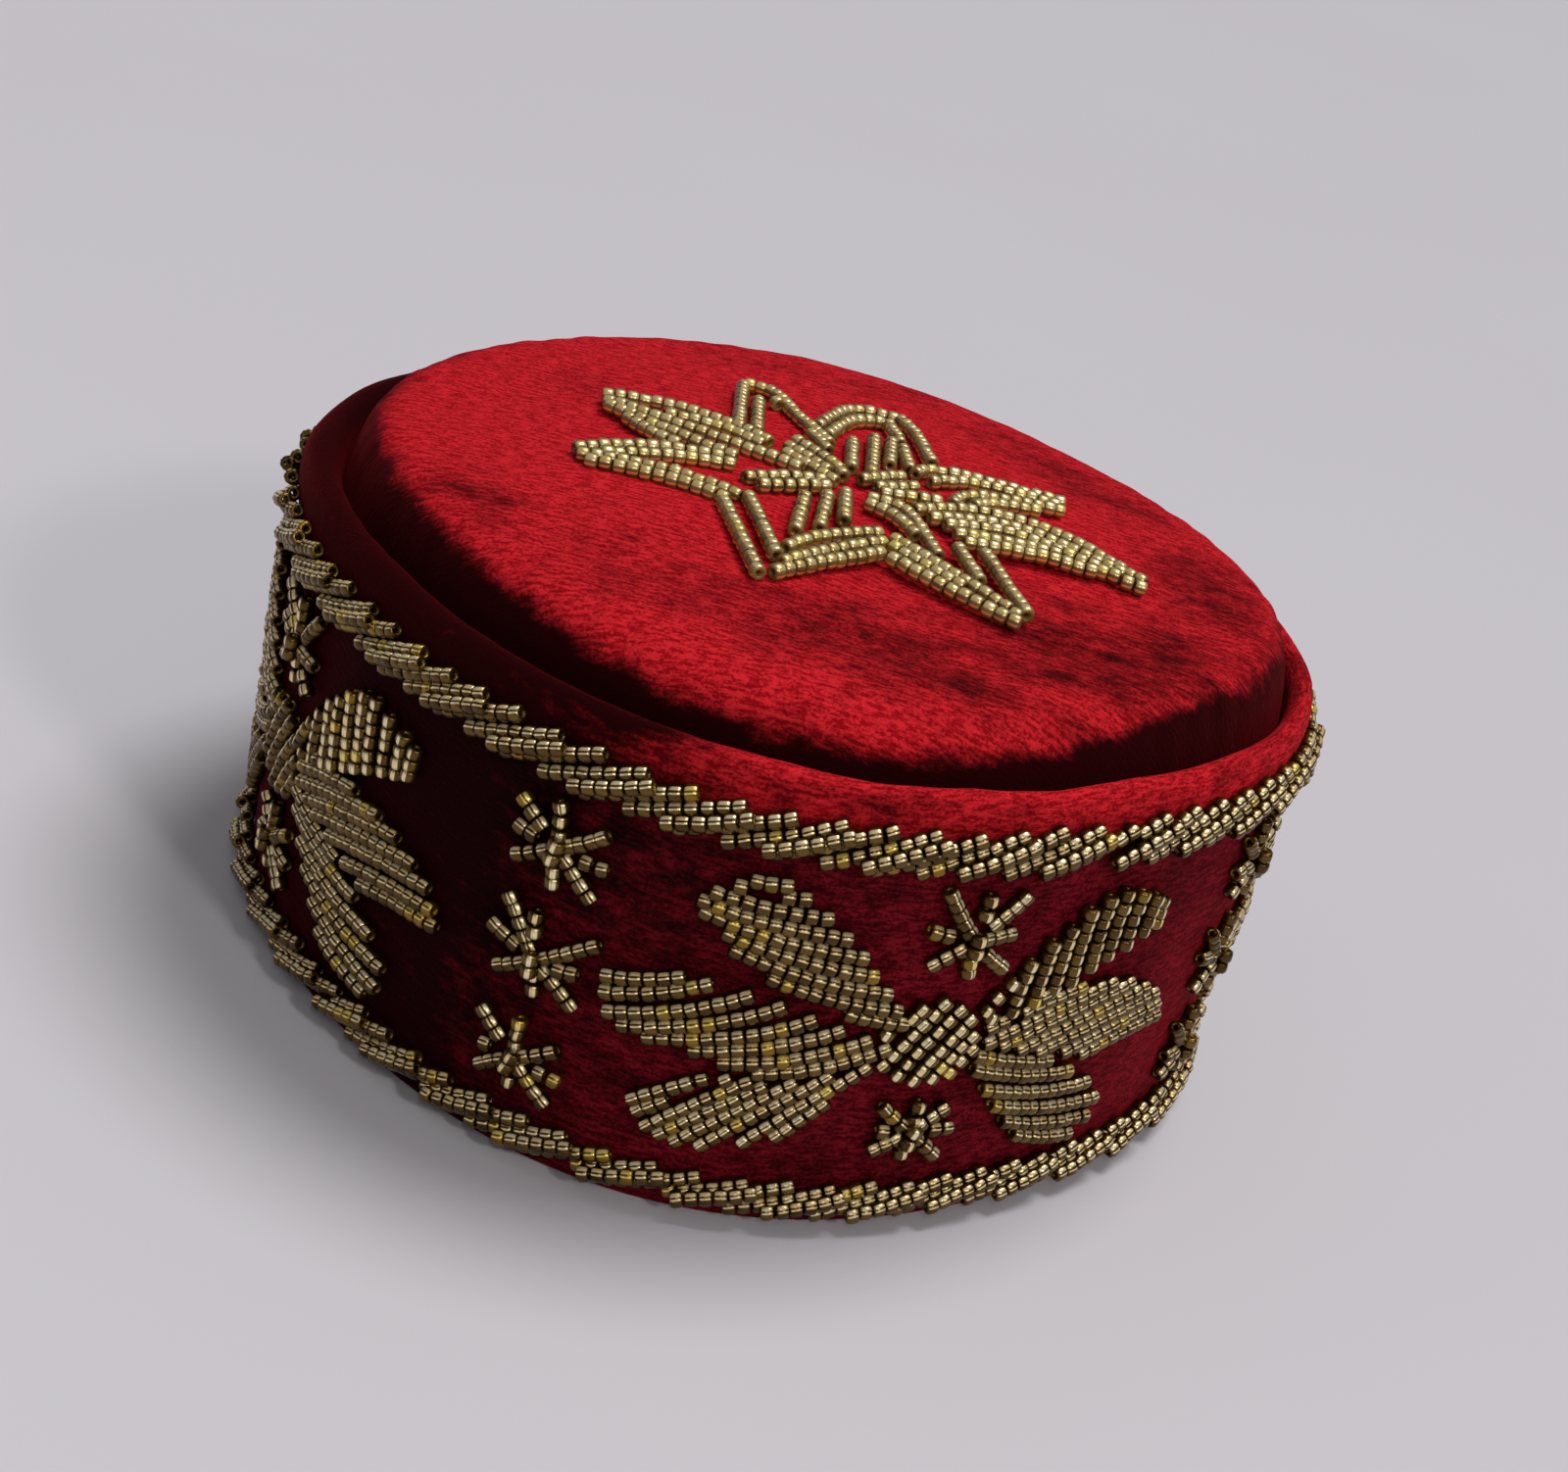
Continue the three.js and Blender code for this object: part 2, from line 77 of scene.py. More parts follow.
# Relief and painted shade of the velvet
WALL_SINK = 0.1  # the wall lies this far inside its solid
WALL_OVERLAP = 1.5  # and runs this far up behind the rolled rim
WALL_RIPPLE = 0.22
HEM_EASE = 8.0  # the ripples set in over this height above the hem
HEM_PUCKER = 0.12
HEM_STITCHES = 11.5  # height of the puckers along them
HEM_STITCH_REACH = 3.0
ROLL_RIPPLE = 0.3
ROLL_PUCKER = 0.25
ROLL_PUCKER_START = 0.4  # share of the way across the roll
CROWN_SWELL = 0.55
CROWN_CREASE = 0.16
CROWN_GATHER = 0.3
GATHER_START = 0.9  # share of the way out to the seam
GATHER_FADE = 0.07
SEAM_START = 0.995  # from here out the velvet is in the seam
SEAM_SHADE_START = 0.975  # and from here painted shade turns it dark
EDGE_SHADE_FADE = (0.12, 0.1)  # before and after where a shade of the crown's edge sets in
SIDE_START = 5.0  # the dome's side starts this far under its top
SIDE_SHARE = 1.5  # how far a way down that side counts as a way out
OUTSIDE_SHADE = 0.6  # how far the roll's outside has the band's shade
OUTSIDE_FADE = (0.3, -0.03)  # between these shares of the way across the roll
HIDDEN_FADE = (0.86, 1.0)  # shares of that way between which painted shade turns the roll dark in the seam
FOLD_SHADE = 1.3  # painted shade of velvet hidden in a fold
# painted shade under the crown's padding
UNDERSIDE_SHADE = 0.4
INSIDE_CLOTH = 5.0  # the pile's pattern inside the band starts this far past the hem
# Rings of the roll hidden in the seam: how far up from the crown's foot, and how far out
HIDDEN_RINGS = ((-1.0, 0.6), (-2.0, 2.4))
PINHOLE = 0.004  # share of the way out of the crown's innermost rings, which are filled at the end
# Underside of the crown's padding: share of the way out, and of the way up from the crown's foot
CROWN_UNDERSIDE = ((0.985, -0.02), (0.96, 0.0), (0.85, 0.35), (0.7, 0.65), (0.35, 0.92), (PINHOLE, 1.0))

# Fineness of the velvet's meshes
BAND_AROUND = 720
WALL_RINGS = 56
HEM_STEPS = 9
INSIDE_RINGS = 24
ROLL_RINGS = 30
CROWN_AROUND = 640
CROWN_RINGS = 60
CROWN_EDGE_RINGS = 40
CROWN_EDGE = 0.14  # last share of the way out, which the finer rings take
EDGE_CROWDING = 1.6  # above 1, they crowd together towards the seam

# Colours of the velvet's pile: painted shade where it leans away from the light, where it lies flat,
# and where it catches the light, and the scale of its soft patches
BAND_PILE = {
    "shadow": (0.006, 0.0003, 0.0008, 1),
    "body": (0.085, 0.0015, 0.005, 1),
    "lit": (0.23, 0.008, 0.016, 1),
    "nap_scale": 24.0,
}
CROWN_PILE = {
    "shadow": (0.018, 0.0003, 0.0008, 1),
    "body": (0.36, 0.004, 0.008, 1),
    "lit": (0.78, 0.022, 0.032, 1),
    "nap_scale": 19.0,
}
SHEEN = (0.85, 0.03, 0.045, 1.0)
STREAKS = {"scale": 480.0, "detail": 3.0, "roughness": 0.65}
TUFTS = {"scale": 1500.0, "detail": 2.0, "roughness": 0.6}
PATCHES = {"detail": 4.0, "roughness": 0.62}
BRUSHING = {"detail": 4.0, "roughness": 0.7}
STREAK_STRETCH = (0.7, 2.4, 1.0)
BRUSH_STRETCH = (0.75, 1.35, 1.0)
BRUSH_FINENESS = 6
STREAK_FLECK = 0.62
TUFT_FLECK = 0.38
STREAK_RELIEF = 0.7
TUFT_RELIEF = 0.5
FLECK_FADE = (0.42, 0.58)
# How dark the pile turns, from painted shade and its mottled nap: where it starts, and what is added in
# which share
LEAN_START = -0.83
LEAN_BY_SHADE = 1.15
LEAN_BY_PATCH = 0.85
LEAN_BY_BRUSHING = 1.15
LEAN_BY_FLECK = -0.45
LEAN_FADE = (0.03, 0.82)

# Colours of the beads: glass from dark to light, painted highlight lines of the silvered holes from
# dull to bright, shares of metal and clear coat, and the half width of the two lines in degrees round
# the bead
WALL_GLASS = {
    "dark": (0.065, 0.033, 0.006, 1),
    "light": (0.18, 0.105, 0.022, 1),
    "dull": (1.0, 0.74, 0.34, 1),
    "bright": (1.0, 0.88, 0.53, 1),
    "metal": 0.9,
    "coat": 0.12,
    "broad": 13.5,
    "fine": 6.0,
}
# The crown's beads: the same glass painted lighter, with broader painted highlight lines, as beads in
# full light
LIT_CROWN_GLASS = {
    "dark": (0.12, 0.062, 0.010, 1),
    "light": (0.30, 0.18, 0.035, 1),
    "dull": (0.84, 0.60, 0.19, 1),
    "bright": (0.95, 0.79, 0.36, 1),
    "metal": 0.0,
    "coat": 0.7,
    "broad": 27.0,
    "fine": 9.0,
}
LINE_METAL = 0.6
LINE_BLUR = 0.25  # share of a line's half width over which its edge fades, each way
LINE_END = (0.66, 0.95)  # shares of half the bead's length between which a line fades out
YELLOW_START = (0.92, 0.93)  # between these tones a bead turns yellow
YELLOW_GLASS = (0.26, 0.15, 0.018, 1)
YELLOW_HIGHLIGHT = (1.0, 0.78, 0.22, 1)

# Beadwork, as in the solids apart from the strings sewn over the borders
UPPER_BORDER = (72.6, 10.8)  # lower edge and height
LOWER_BORDER = (1.8, 8.8)
BORDER_ROW = 20.0
BORDER_STEP = 7.9
BORDER_BOW = -0.01
ROPE_LIFT = 1.6  # of the strings sewn over the others
ROPE_INSET = 0.13  # their ends lie further in by this share of a string
FLOWER_HALF_WIDTH = 57.0
FLOWER_HALF_HEIGHT = 29.0
FLOWER_MIDDLE = 39.7
FLOWER_COUNT = 4
FIRST_FLOWER = math.radians(-64.6)
CROWN_STAR_RIGHT = 3.0
CROWN_STAR_FORWARD = 2.1
MEAN_RADIUS = (RIM_RADIUS + HEM_RADIUS) / 2

# One seed bead
BEAD = 3.15  # across, 5% more than in the solids
PITCH = 2.42  # from one bead to the next along a string
BEAD_LENGTH = 0.99  # share of the pitch
BEAD_SIDES = 9
# Section of a bead round its glass: along the string in shares of half its length,
# and out in shares of its radius
BEAD_SECTION = ((-0.7, 0.33), (-0.98, 0.58), (-0.84, 0.87), (-0.42, 0.99),
                (0.42, 0.99), (0.84, 0.87), (0.98, 0.58), (0.7, 0.33))
# Painted highlights: two bright lines along a string, for the lamps seen in its silvered holes.
# Each is given by where it lies round the string: shares of the way out of the velvet, up or back
# along it, and to the right.
BAND_HIGHLIGHT_LINES = ((0.48, 0.87, 0.14), (0.90, 0.42, 0.04))
CROWN_HIGHLIGHT_LINES = ((0.80, -0.60, 0.10), (-0.10, -0.98, -0.10))
SEATED = 1.4  # a bead's middle above the velvet, a little sunk in the pile
CLEAR = 2.0  # a bead nearer than this to one already sewn on is left out
STRING_STEPS = 40
BOW_STEPS = 16
PROBE = 0.3  # short ways along the cloth, out of it and along a string, to find directions
PROBE_OUT = 0.5
PROBE_STRING = 0.4

# Unevenness of sewing by hand: the spread of each random draw
END_SPREAD = 0.15  # of a string's ends
RISE_SPREAD = 0.2  # of a border string's upper end against its lower end
BOW_SPREAD = 0.01  # of a border string's bow, as a share of its length
BEAD_SPREAD = 0.05  # of a bead along its string
SEAT_SPREAD = 0.07  # of a bead's height over the velvet
TILT_SPREAD = 0.05  # of a bead's axis, in radians
SIZE_SPREAD = 0.03  # of a bead's length and radius, as a share
ARM_TURN_SPREAD = 3.0  # of a star's arm, in degrees
ARM_SIZE_SPREAD = 0.03
ARM_BOW_SPREAD = 0.02
KNOT_TURN_SPREAD = 6.0

# Petals of a flower in shares of its half width and height: rows of beads between two curves
PETALS = (
    {"rows": 9, "bow": -0.02,
     "starts": ((-0.66, 1.0), (-0.78, 0.82), (-0.72, 0.62), (-0.46, 0.29)),
     "ends": ((-0.54, 1.02), (-0.35, 0.77), (-0.2, 0.45), (-0.09, 0.16))},
    {"rows": 8, "bow": -0.04,
     "starts": ((-1.0, 0.1), (-0.955, -0.14), (-0.78, -0.21), (-0.52, -0.26)),
     "ends": ((-0.76, 0.28), (-0.53, 0.25), (-0.31, 0.13), (-0.12, 0.0))},
    {"rows": 8, "bow": 0.02,
     "starts": ((-0.84, -0.66), (-0.76, -0.82), (-0.64, -0.86), (-0.4, -0.72)),
     "ends": ((-0.63, -0.36), (-0.44, -0.26), (-0.26, -0.17), (-0.11, -0.12))},
    {"rows": 7, "bow": 0.03,
     "starts": ((-0.155, 0.05), (-0.125, -0.17), (-0.02, -0.29), (0.1, -0.24)),
     "ends": ((-0.1, 0.27), (0.03, 0.32), (0.14, 0.2), (0.185, -0.02))},
    {"rows": 11, "bow": 0.02,
     "starts": ((0.14, 0.1), (0.37, 0.24), (0.58, 0.44), (0.79, 0.63)),
     "ends": ((0.21, 0.36), (0.36, 0.74), (0.57, 0.98), (0.8, 0.85))},
    {"rows": 8, "bow": 0.03,
     "starts": ((0.12, 0.1), (0.22, -0.04), (0.4, -0.14), (0.64, -0.26)),
     "ends": ((0.45, 0.31), (0.73, 0.25), (0.94, 0.09), (1.02, -0.15))},
    {"rows": 6, "bow": -0.03,
     "starts": ((0.14, -0.07), (0.24, -0.33), (0.34, -0.56), (0.46, -0.8)),
     "ends": ((0.52, -0.25), (0.72, -0.48), (0.84, -0.73), (0.76, -0.93))},
)

# Stars round one flower: degrees from its middle, height, size, and which set of arms it has
STARS = (
    (1.4, 61.2, 1.0, 0),
    (1.2, 21.0, 0.82, 1),
    (48, 62.3, 1.0, 2),
    (48, 40.0, 1.0, 0),
    (48, 20.0, 0.88, 1),
)
STAR_EYE = 1.3  # a star's arms start this far from its middle
# The short string sewn over a star's middle: direction in degrees, half length and lift
KNOT_TURN = 84.0
KNOT_REACH = 2.4
KNOT_LIFT = 1.7
# Arms of a star: length and direction in degrees
STAR_ARMS = (
    ((12.6, 130), (9.6, 164), (8.9, -145), (6.9, -84), (9.6, -38), (8.2, 7), (13.2, 46), (9.7, 90)),
    ((9.4, 88), (10.6, 35), (10.8, -5), (12.1, -42), (6.8, -86), (9.5, -145), (8.3, 176), (11.5, 137)),
    ((8.6, 99), (9.7, 38), (9.8, -3), (11.2, -44), (7.5, -90), (9.6, -144), (8.6, 180), (10.5, 140)),
)

# Strings of the crown's star, from its middle
CROWN_STRINGS = (
    ((-51, 17), (-38, 19), (-24, 16), (-17, 11)),
    ((-38, 13.5), (-28, 13.5), (-18, 9)),
    ((-50, 14), (-35, 9.5), (-10, 2)),
    ((-49, 12), (-38, 5.5), (-22, -1)),
    ((-48, 10.5), (-38, 1), (-33, -1)),
    ((-51, -14.5), (-37, -5), (-22, -2)),
    ((-46, -14.5), (-34, -8), (-22, -5)),
    ((-50, -16.5), (-33, -15.5), (-19, -19)),
    ((-48, -18.5), (-31, -19), (-21, -22)),
    ((-22, -23), (-12, -50)),
    ((-18, -18), (-10, -41)),
    ((-10, -39), (-4, -29), (7, -19)),
    ((-9, -43.5), (-2, -34), (8, -23)),
    ((-10, -48), (-3, -40), (8, -28)),
    ((7, -19), (17, -26), (32, -36.5)),
    ((9, -24), (20, -31), (34, -38.5)),
    ((9, -29), (20, -35), (34, -41)),
    ((-8, -11), (-8, -29)),
    ((-4, -8), (-4, -25)),
    ((-1, -4), (0, -19)),
    ((-2, 25), (-1, 9)),
    ((2, 30), (3, 9)),
    ((5.5, 31), (6, 16)),
    ((-20, -10), (-11, -3.5), (-5, -1)),
    ((-17, -12), (-9, -7), (-4, -3.5)),
    ((-13, 17), (-5, 9), (-2, 3)),
    ((-14, 12.5), (-7, 6), (-3, 2)),
    ((-14, 8), (-3, 0)),
    ((-26, 43), (-24, 17)),
    ((-22, 35), (-20, 13)),
    ((-26, 44), (-20, 43), (-14, 32), (-6, 19)),
    ((-19, 37), (-12, 26), (-6, 15)),
    ((-10, 26), (-4, 44), (6, 47)),
    ((-7, 24), (-3, 37), (3, 42)),
    ((6, 47), (10, 39), (14, 24)),
    ((4, 42), (7, 32), (10, 17)),
    ((11, 15), (16, 21), (41, 24)),
    ((14, 13), (22, 19), (40, 21.5)),
    ((19, 4), (23, 12), (41, 19.5)),
    ((23, 6), (27, 11), (36, 15)),
    ((12, -4), (23, 4), (39, 5), (57, -6)),
    ((15, -5.5), (32, 1.5), (53, -5)),
    ((18, -7), (30, -2), (48, -5.5)),
    ((20, -10), (37, -5.5), (52, -7.5)),
    ((22, -13), (37, -8.5), (57, -8.5)),
    ((21, -16), (26, -29)),
    ((26, -15), (35, -37)),
    ((3, -4), (10, -5), (14, -13), (18, -23)),
    ((3, -7), (9, -10), (16, -21)),
    ((1, 4), (9, 12)),
    ((4, 2), (12, 8)),
    ((5, 0), (17, 4)),
)

# Folds and dents of the crown's velvet: place from the crown's middle, half length, half width,
# direction in degrees and depth
CROWN_DENTS = (
    (54, -40, 7, 4.0, 10, 0.6),
    (63, -32, 6, 2.4, 30, 0.5),
    (44, -42, 9, 3.0, -20, 0.6),
    (-58, 20, 16, 5.0, 70, 0.5),
    (20, -62, 22, 4.0, 8, 0.6),
    (-30, -58, 20, 4.0, -24, 0.5),
)

# Painted shade on the crown, where its pile leans away from the light: place, half length, half width,
# direction, share
CROWN_SHADES = (
    (54, -40, 5.2, 3.8, 10, 0.78),
    (45, -54, 8.5, 4.2, 25, 0.6),
    (50, -44, 46, 26, 14, 0.50),
    (8, -64, 58, 19, -6, 0.50),
    (44, 46, 38, 15, -42, 0.38),
    (72, 6, 26, 17, -70, 0.44),
    (-8, 68, 58, 13, 4, 0.28),
    (-58, 26, 18, 10, 20, 0.2),
    (-62, -42, 22, 13, -50, 0.42),
)
# The same along the crown's edge: direction in degrees, how far out it sets in, share.
# Down the side of the dome, how far out also counts the way down, as seen from the front.
CROWN_EDGE_SHADES = (
    (-180, 0.95, 0.9), (-172, 0.96, 1.0), (-156, 0.965, 1.0), (-138, 0.985, 1.0),
    (-123, 1.01, 1.0), (-114, 1.03, 1.0), (-95, 1.07, 1.0), (-84, 1.085, 1.0), (-71, 1.075, 1.0),
    (-56, 1.05, 1.0), (-37, 0.97, 1.0), (-16, 0.95, 0.8), (20, 0.965, 0.45), (60, 0.99, 0.35),
    (100, 0.99, 0.35), (140, 0.96, 0.5), (160, 0.95, 0.75), (180, 0.95, 0.9),
)
# Painted shade along the rolled rim and the band, darkest on the left: direction in degrees, share on
# the rim, share on the band
RIM_SHADES = (
    (-180, 0.95, 0.9), (-150, 1.0, 1.0), (-120, 1.0, 0.8), (-104, 0.8, 0.5), (-90, 0.2, 0.38),
    (-60, 0.05, 0.3), (-30, 0.12, 0.25), (0, 0.3, 0.3), (60, 0.4, 0.4), (120, 0.45, 0.5),
    (160, 0.7, 0.7), (180, 0.95, 0.9),
)

# Seeds of the random draws: one for the strings of a piece of beadwork, and one for its beads
BORDER_SEED = 31
FLOWER_SEED = 50
STAR_SEED = 100
STAR_SEED_STEP = 10  # from one flower to the next
BEAD_SEED_STEP = 10
STAR_BEAD_SEED_STEP = 50
CROWN_BEAD_SEED = 90

# The photo's camera, the floor and the lamps
CAMERA_FOCUS = 2800.0  # pixels of the photo
PHOTO_WIDTH = 1600.0
CAMERA_DISTANCE = 560.403
CAMERA_ELEVATION = math.radians(30.005)
CAMERA_ROLL = math.radians(14.726)
CAMERA_YAW = math.radians(0.454)
CAMERA_PITCH = math.radians(4.469)
SENSOR = 36.0
FLOOR_REACH = 6.0  # metres
FLOOR_COLOURS = ((0.72, 0.70, 0.74, 1), (0.76, 0.75, 0.78, 1))
AIM = (0, 0, 0.05)  # where the panel of light points, in metres


def roundness(angle):
    """Radius at each angle, as a share of a round band's."""
    total = np.ones_like(np.asarray(angle, float))
    for waves, cos_share, sin_share in BAND_WAVES:
        total = total + cos_share * np.cos(waves * angle) + sin_share * np.sin(waves * angle)
    return total


def on_band(angle, height, proud):
    """Points on the outside of the band, or proud of it."""
    angle, height, proud = np.broadcast_arrays(
        np.asarray(angle, float), np.asarray(height, float), np.asarray(proud, float))
    taper = HEM_RADIUS + (RIM_RADIUS - HEM_RADIUS) * height / BAND_HEIGHT
    radius = taper * roundness(angle) + proud
    return np.stack([radius * np.cos(angle), radius * np.sin(angle), height], -1)


def on_crown(angle, share, height):
    """Points at a share of the way from the crown's middle out to its seam."""
    radius = CROWN_RADIUS * roundness(angle) * share
    x = CROWN_RIGHT + radius * np.cos(angle)
    y = radius * np.sin(angle) - CROWN_FORWARD
    return np.stack([x, y, np.broadcast_to(float(height), x.shape)], -1)


def dome_height(out):
    """Height of the crown's dome at a share of the way out."""
    return CROWN_TOP - CROWN_SAG * out ** 2 - EDGE_DROP * out ** EDGE_SHARPNESS


def turn_in_steps(count):
    """Angles of a full turn in equal steps."""
    return np.arange(count) / count * FULL_TURN


def drawing_offset():
    """How far the frame is from the drawing, from the band's box and its own drawn outline."""
    angle = turn_in_steps(SOLID_SIDES)
    ring = [on_band(angle, 0, 0)]
    for across, up in (ROLL_BULGE, (0, 0)):
        height = ROLL_LOW + up * ROLL_HEIGHT
        outer = on_band(angle, height, 0)
        ring.append(outer + (on_crown(angle, 1, height) - outer) * across)
    drawn = np.concatenate(ring)
    low, high = (np.array(corner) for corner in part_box("side_band"))
    middle = (low + high) / 2 / MM - (drawn.min(0) + drawn.max(0)) / 2
    return np.array([middle[0], middle[1], 0.0])


OFFSET = drawing_offset()


def smooth_noise(seed, count, low, high):
    """A function of two coordinates: waves of random direction and phase, about -1 to 1."""
    rng = np.random.default_rng(seed)
    frequency = rng.uniform(low, high, count)
    direction = rng.uniform(0, FULL_TURN, count)
    phase = rng.uniform(0, FULL_TURN, count)

    def noise(x, y):
        total = np.zeros(np.broadcast(x, y).shape)
        for k in range(count):
            along = x * math.cos(direction[k]) + y * math.sin(direction[k])
            total += np.sin(frequency[k] * along + phase[k])
        return total / math.sqrt(count)

    return noise


wall_ripple = smooth_noise(seed=11, count=9, low=0.035, high=0.16)
roll_ripple = smooth_noise(seed=12, count=9, low=0.05, high=0.22)
pucker_noise = smooth_noise(seed=13, count=7, low=0.25, high=0.7)
crown_swells = smooth_noise(seed=21, count=10, low=0.02, high=0.075)
crown_creases = smooth_noise(seed=22, count=12, low=0.08, high=0.3)
seam_gathers = smooth_noise(seed=23, count=8, low=0.3, high=0.9)


def shade_table(table, angle):
    """The two values of a table of directions, at each angle in radians."""
    degrees = (np.degrees(angle) + 180) % 360 - 180
    known = np.array(table, float)
    return [np.interp(degrees, known[:, 0], known[:, k]) for k in (1, 2)]


def smooth_step(value, low, high):
    """A soft step from 0 at low to 1 at high."""
    t = np.clip((value - low) / (high - low), 0, 1)
    return t * t * (3 - 2 * t)


def spot_share(x, y, spot):
    """A soft oval spot: its value at each point, full at its middle."""
    right, forward, half_length, half_width, turn, value = spot
    c = math.cos(math.radians(turn))
    s = math.sin(math.radians(turn))
    along = (x - right) * c + (y - forward) * s
    aside = (y - forward) * c - (x - right) * s
    return value * np.exp(-(along / half_length) ** 2 - (aside / half_width) ** 2)


def unit(vectors):
    return vectors / np.linalg.norm(vectors, axis=-1, keepdims=True)


def square_to(vectors, axis):
    """Unit vectors as near to the given ones as lie square to the axis."""
    return unit(vectors - (vectors * axis).sum(1)[:, None] * axis)


def smooth_through(values, at):
    """Catmull-Rom through evenly spaced values."""
    v = np.asarray(values, float)
    i = np.clip(np.floor(at).astype(int), 0, len(v) - 2)
    t = at - i
    p0, p1 = v[np.maximum(i - 1, 0)], v[i]
    p2, p3 = v[i + 1], v[np.minimum(i + 2, len(v) - 1)]
    a, b = (p2 - p0) / 2, (p3 - p1) / 2
    return (2 * p1 - 2 * p2 + a + b) * t ** 3 + (-3 * p1 + 3 * p2 - 2 * a - b) * t ** 2 + a * t + p1


def new_mesh(name, points, faces, attributes):
    """A smooth mesh from points in millimetres, faces of one size, and named values for each point."""
    points = np.asarray(points, float).reshape(-1, 3)
    faces = np.asarray(faces, int)
    mesh = bpy.data.meshes.new(name)
    mesh.vertices.add(len(points))
    mesh.vertices.foreach_set("co", ((points + OFFSET) * MM).astype(np.float32).ravel())
    mesh.loops.add(faces.size)
    mesh.loops.foreach_set("vertex_index", faces.astype(np.int32).ravel())
    mesh.polygons.add(len(faces))
    mesh.polygons.foreach_set("loop_start", np.arange(0, faces.size, faces.shape[1], dtype=np.int32))
    mesh.update(calc_edges=True)
    mesh.validate()
    mesh.polygons.foreach_set("use_smooth", np.ones(len(mesh.polygons), bool))
    for label, kind, values in attributes:
        field = mesh.attributes.new(label, kind, "POINT")
        key = "vector" if kind == "FLOAT_VECTOR" else "value"
        field.data.foreach_set(key, np.asarray(values, np.float32).ravel())
    return mesh


def ring_faces(rings, size, close_rings):
    """Quads between neighbouring rings of points; each ring closes on itself."""
    i = np.arange(rings if close_rings else rings - 1)[:, None]
    j = np.arange(size)[None, :]
    i2, j2 = (i + 1) % rings, (j + 1) % size
    return np.stack([i * size + j, i * size + j2, i2 * size + j2, i2 * size + j], -1).reshape(-1, 4)


def velvet_mesh(name, rings, cloth, shade, close_rings):
    """A mesh through rings of points, with each point's place on the cloth and its shade."""
    points = np.array(rings)
    faces = ring_faces(points.shape[0], points.shape[1], close_rings)
    values = [("cloth", "FLOAT_VECTOR", np.array(cloth) * MM), ("shade", "FLOAT", np.array(shade))]
    return new_mesh(name, points, faces, values)


def add_piece(name, mesh, material, nodes):
    piece = bpy.data.objects.new(name, mesh)
    bpy.context.scene.collection.objects.link(piece)
    mesh.materials.append(material)
    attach(piece, "root")
    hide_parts(*nodes)
    return piece


class Shader:
    """A material's node tree, built one node at a time."""

    def __init__(self, name):
        self.material = bpy.data.materials.new(name)
        self.material.use_nodes = True
        self.tree = self.material.node_tree
        self.surface = self.tree.nodes["Principled BSDF"]

    def put(self, socket, value):
        if isinstance(value, bpy.types.NodeSocket):
            self.tree.links.new(value, socket)
        else:
            socket.default_value = value

    def finish(self, **inputs):
        """Sets inputs of the surface, named with _ for a space, and returns the material."""
        for key, value in inputs.items():
            self.put(self.surface.inputs[key.replace("_", " ")], value)
        return self.material

    def add(self, kind, settings=(), **inputs):
        """A node; its inputs are named with _ for a space, or _0, _1 and so on by their place."""
        made = self.tree.nodes.new(kind)
        for key, value in dict(settings).items():
            setattr(made, key, value)
        for key, value in inputs.items():
            slot = int(key[1:]) if key[1:].isdigit() else key.replace("_", " ")
            self.put(made.inputs[slot], value)
        return made

    def math(self, operation, *values):
        made = self.add("ShaderNodeMath", {"operation": operation})
        for socket, value in zip(made.inputs, values):
            self.put(socket, value)
        return made.outputs[0]

    def plus(self, total, value, share):
        """A total with a share of a value added."""
        return self.math("ADD", total, self.math("MULTIPLY", value, share))

    def noise(self, vector, scale, detail, roughness):
        made = self.add("ShaderNodeTexNoise", Vector=vector, Scale=scale, Detail=detail,
                        Roughness=roughness)
        return made.outputs["Fac"]

    def stretched(self, vector, scale):
        made = self.add("ShaderNodeMapping", Vector=vector, Scale=scale)
        return made.outputs[0]

    def fade(self, value, low, high, out_low=0.0, out_high=1.0):
        made = self.add("ShaderNodeMapRange", {"interpolation_type": "SMOOTHSTEP"},
                        Value=value, From_Min=low, From_Max=high, To_Min=out_low, To_Max=out_high)
        return made.outputs[0]

    def blend(self, share, first, second):
        made = self.add("ShaderNodeMix", {"data_type": "RGBA"})
        self.put(made.inputs[0], share)
        self.put(made.inputs[6], first)
        self.put(made.inputs[7], second)
        return made.outputs[2]

    def attribute(self, name, output="Vector"):
        made = self.add("ShaderNodeAttribute", {"attribute_name": name})
        return made.outputs[output]

    def bump(self, height, strength, distance):
        made = self.add("ShaderNodeBump", Height=height, Strength=strength, Distance=distance)
        return made.outputs[0]


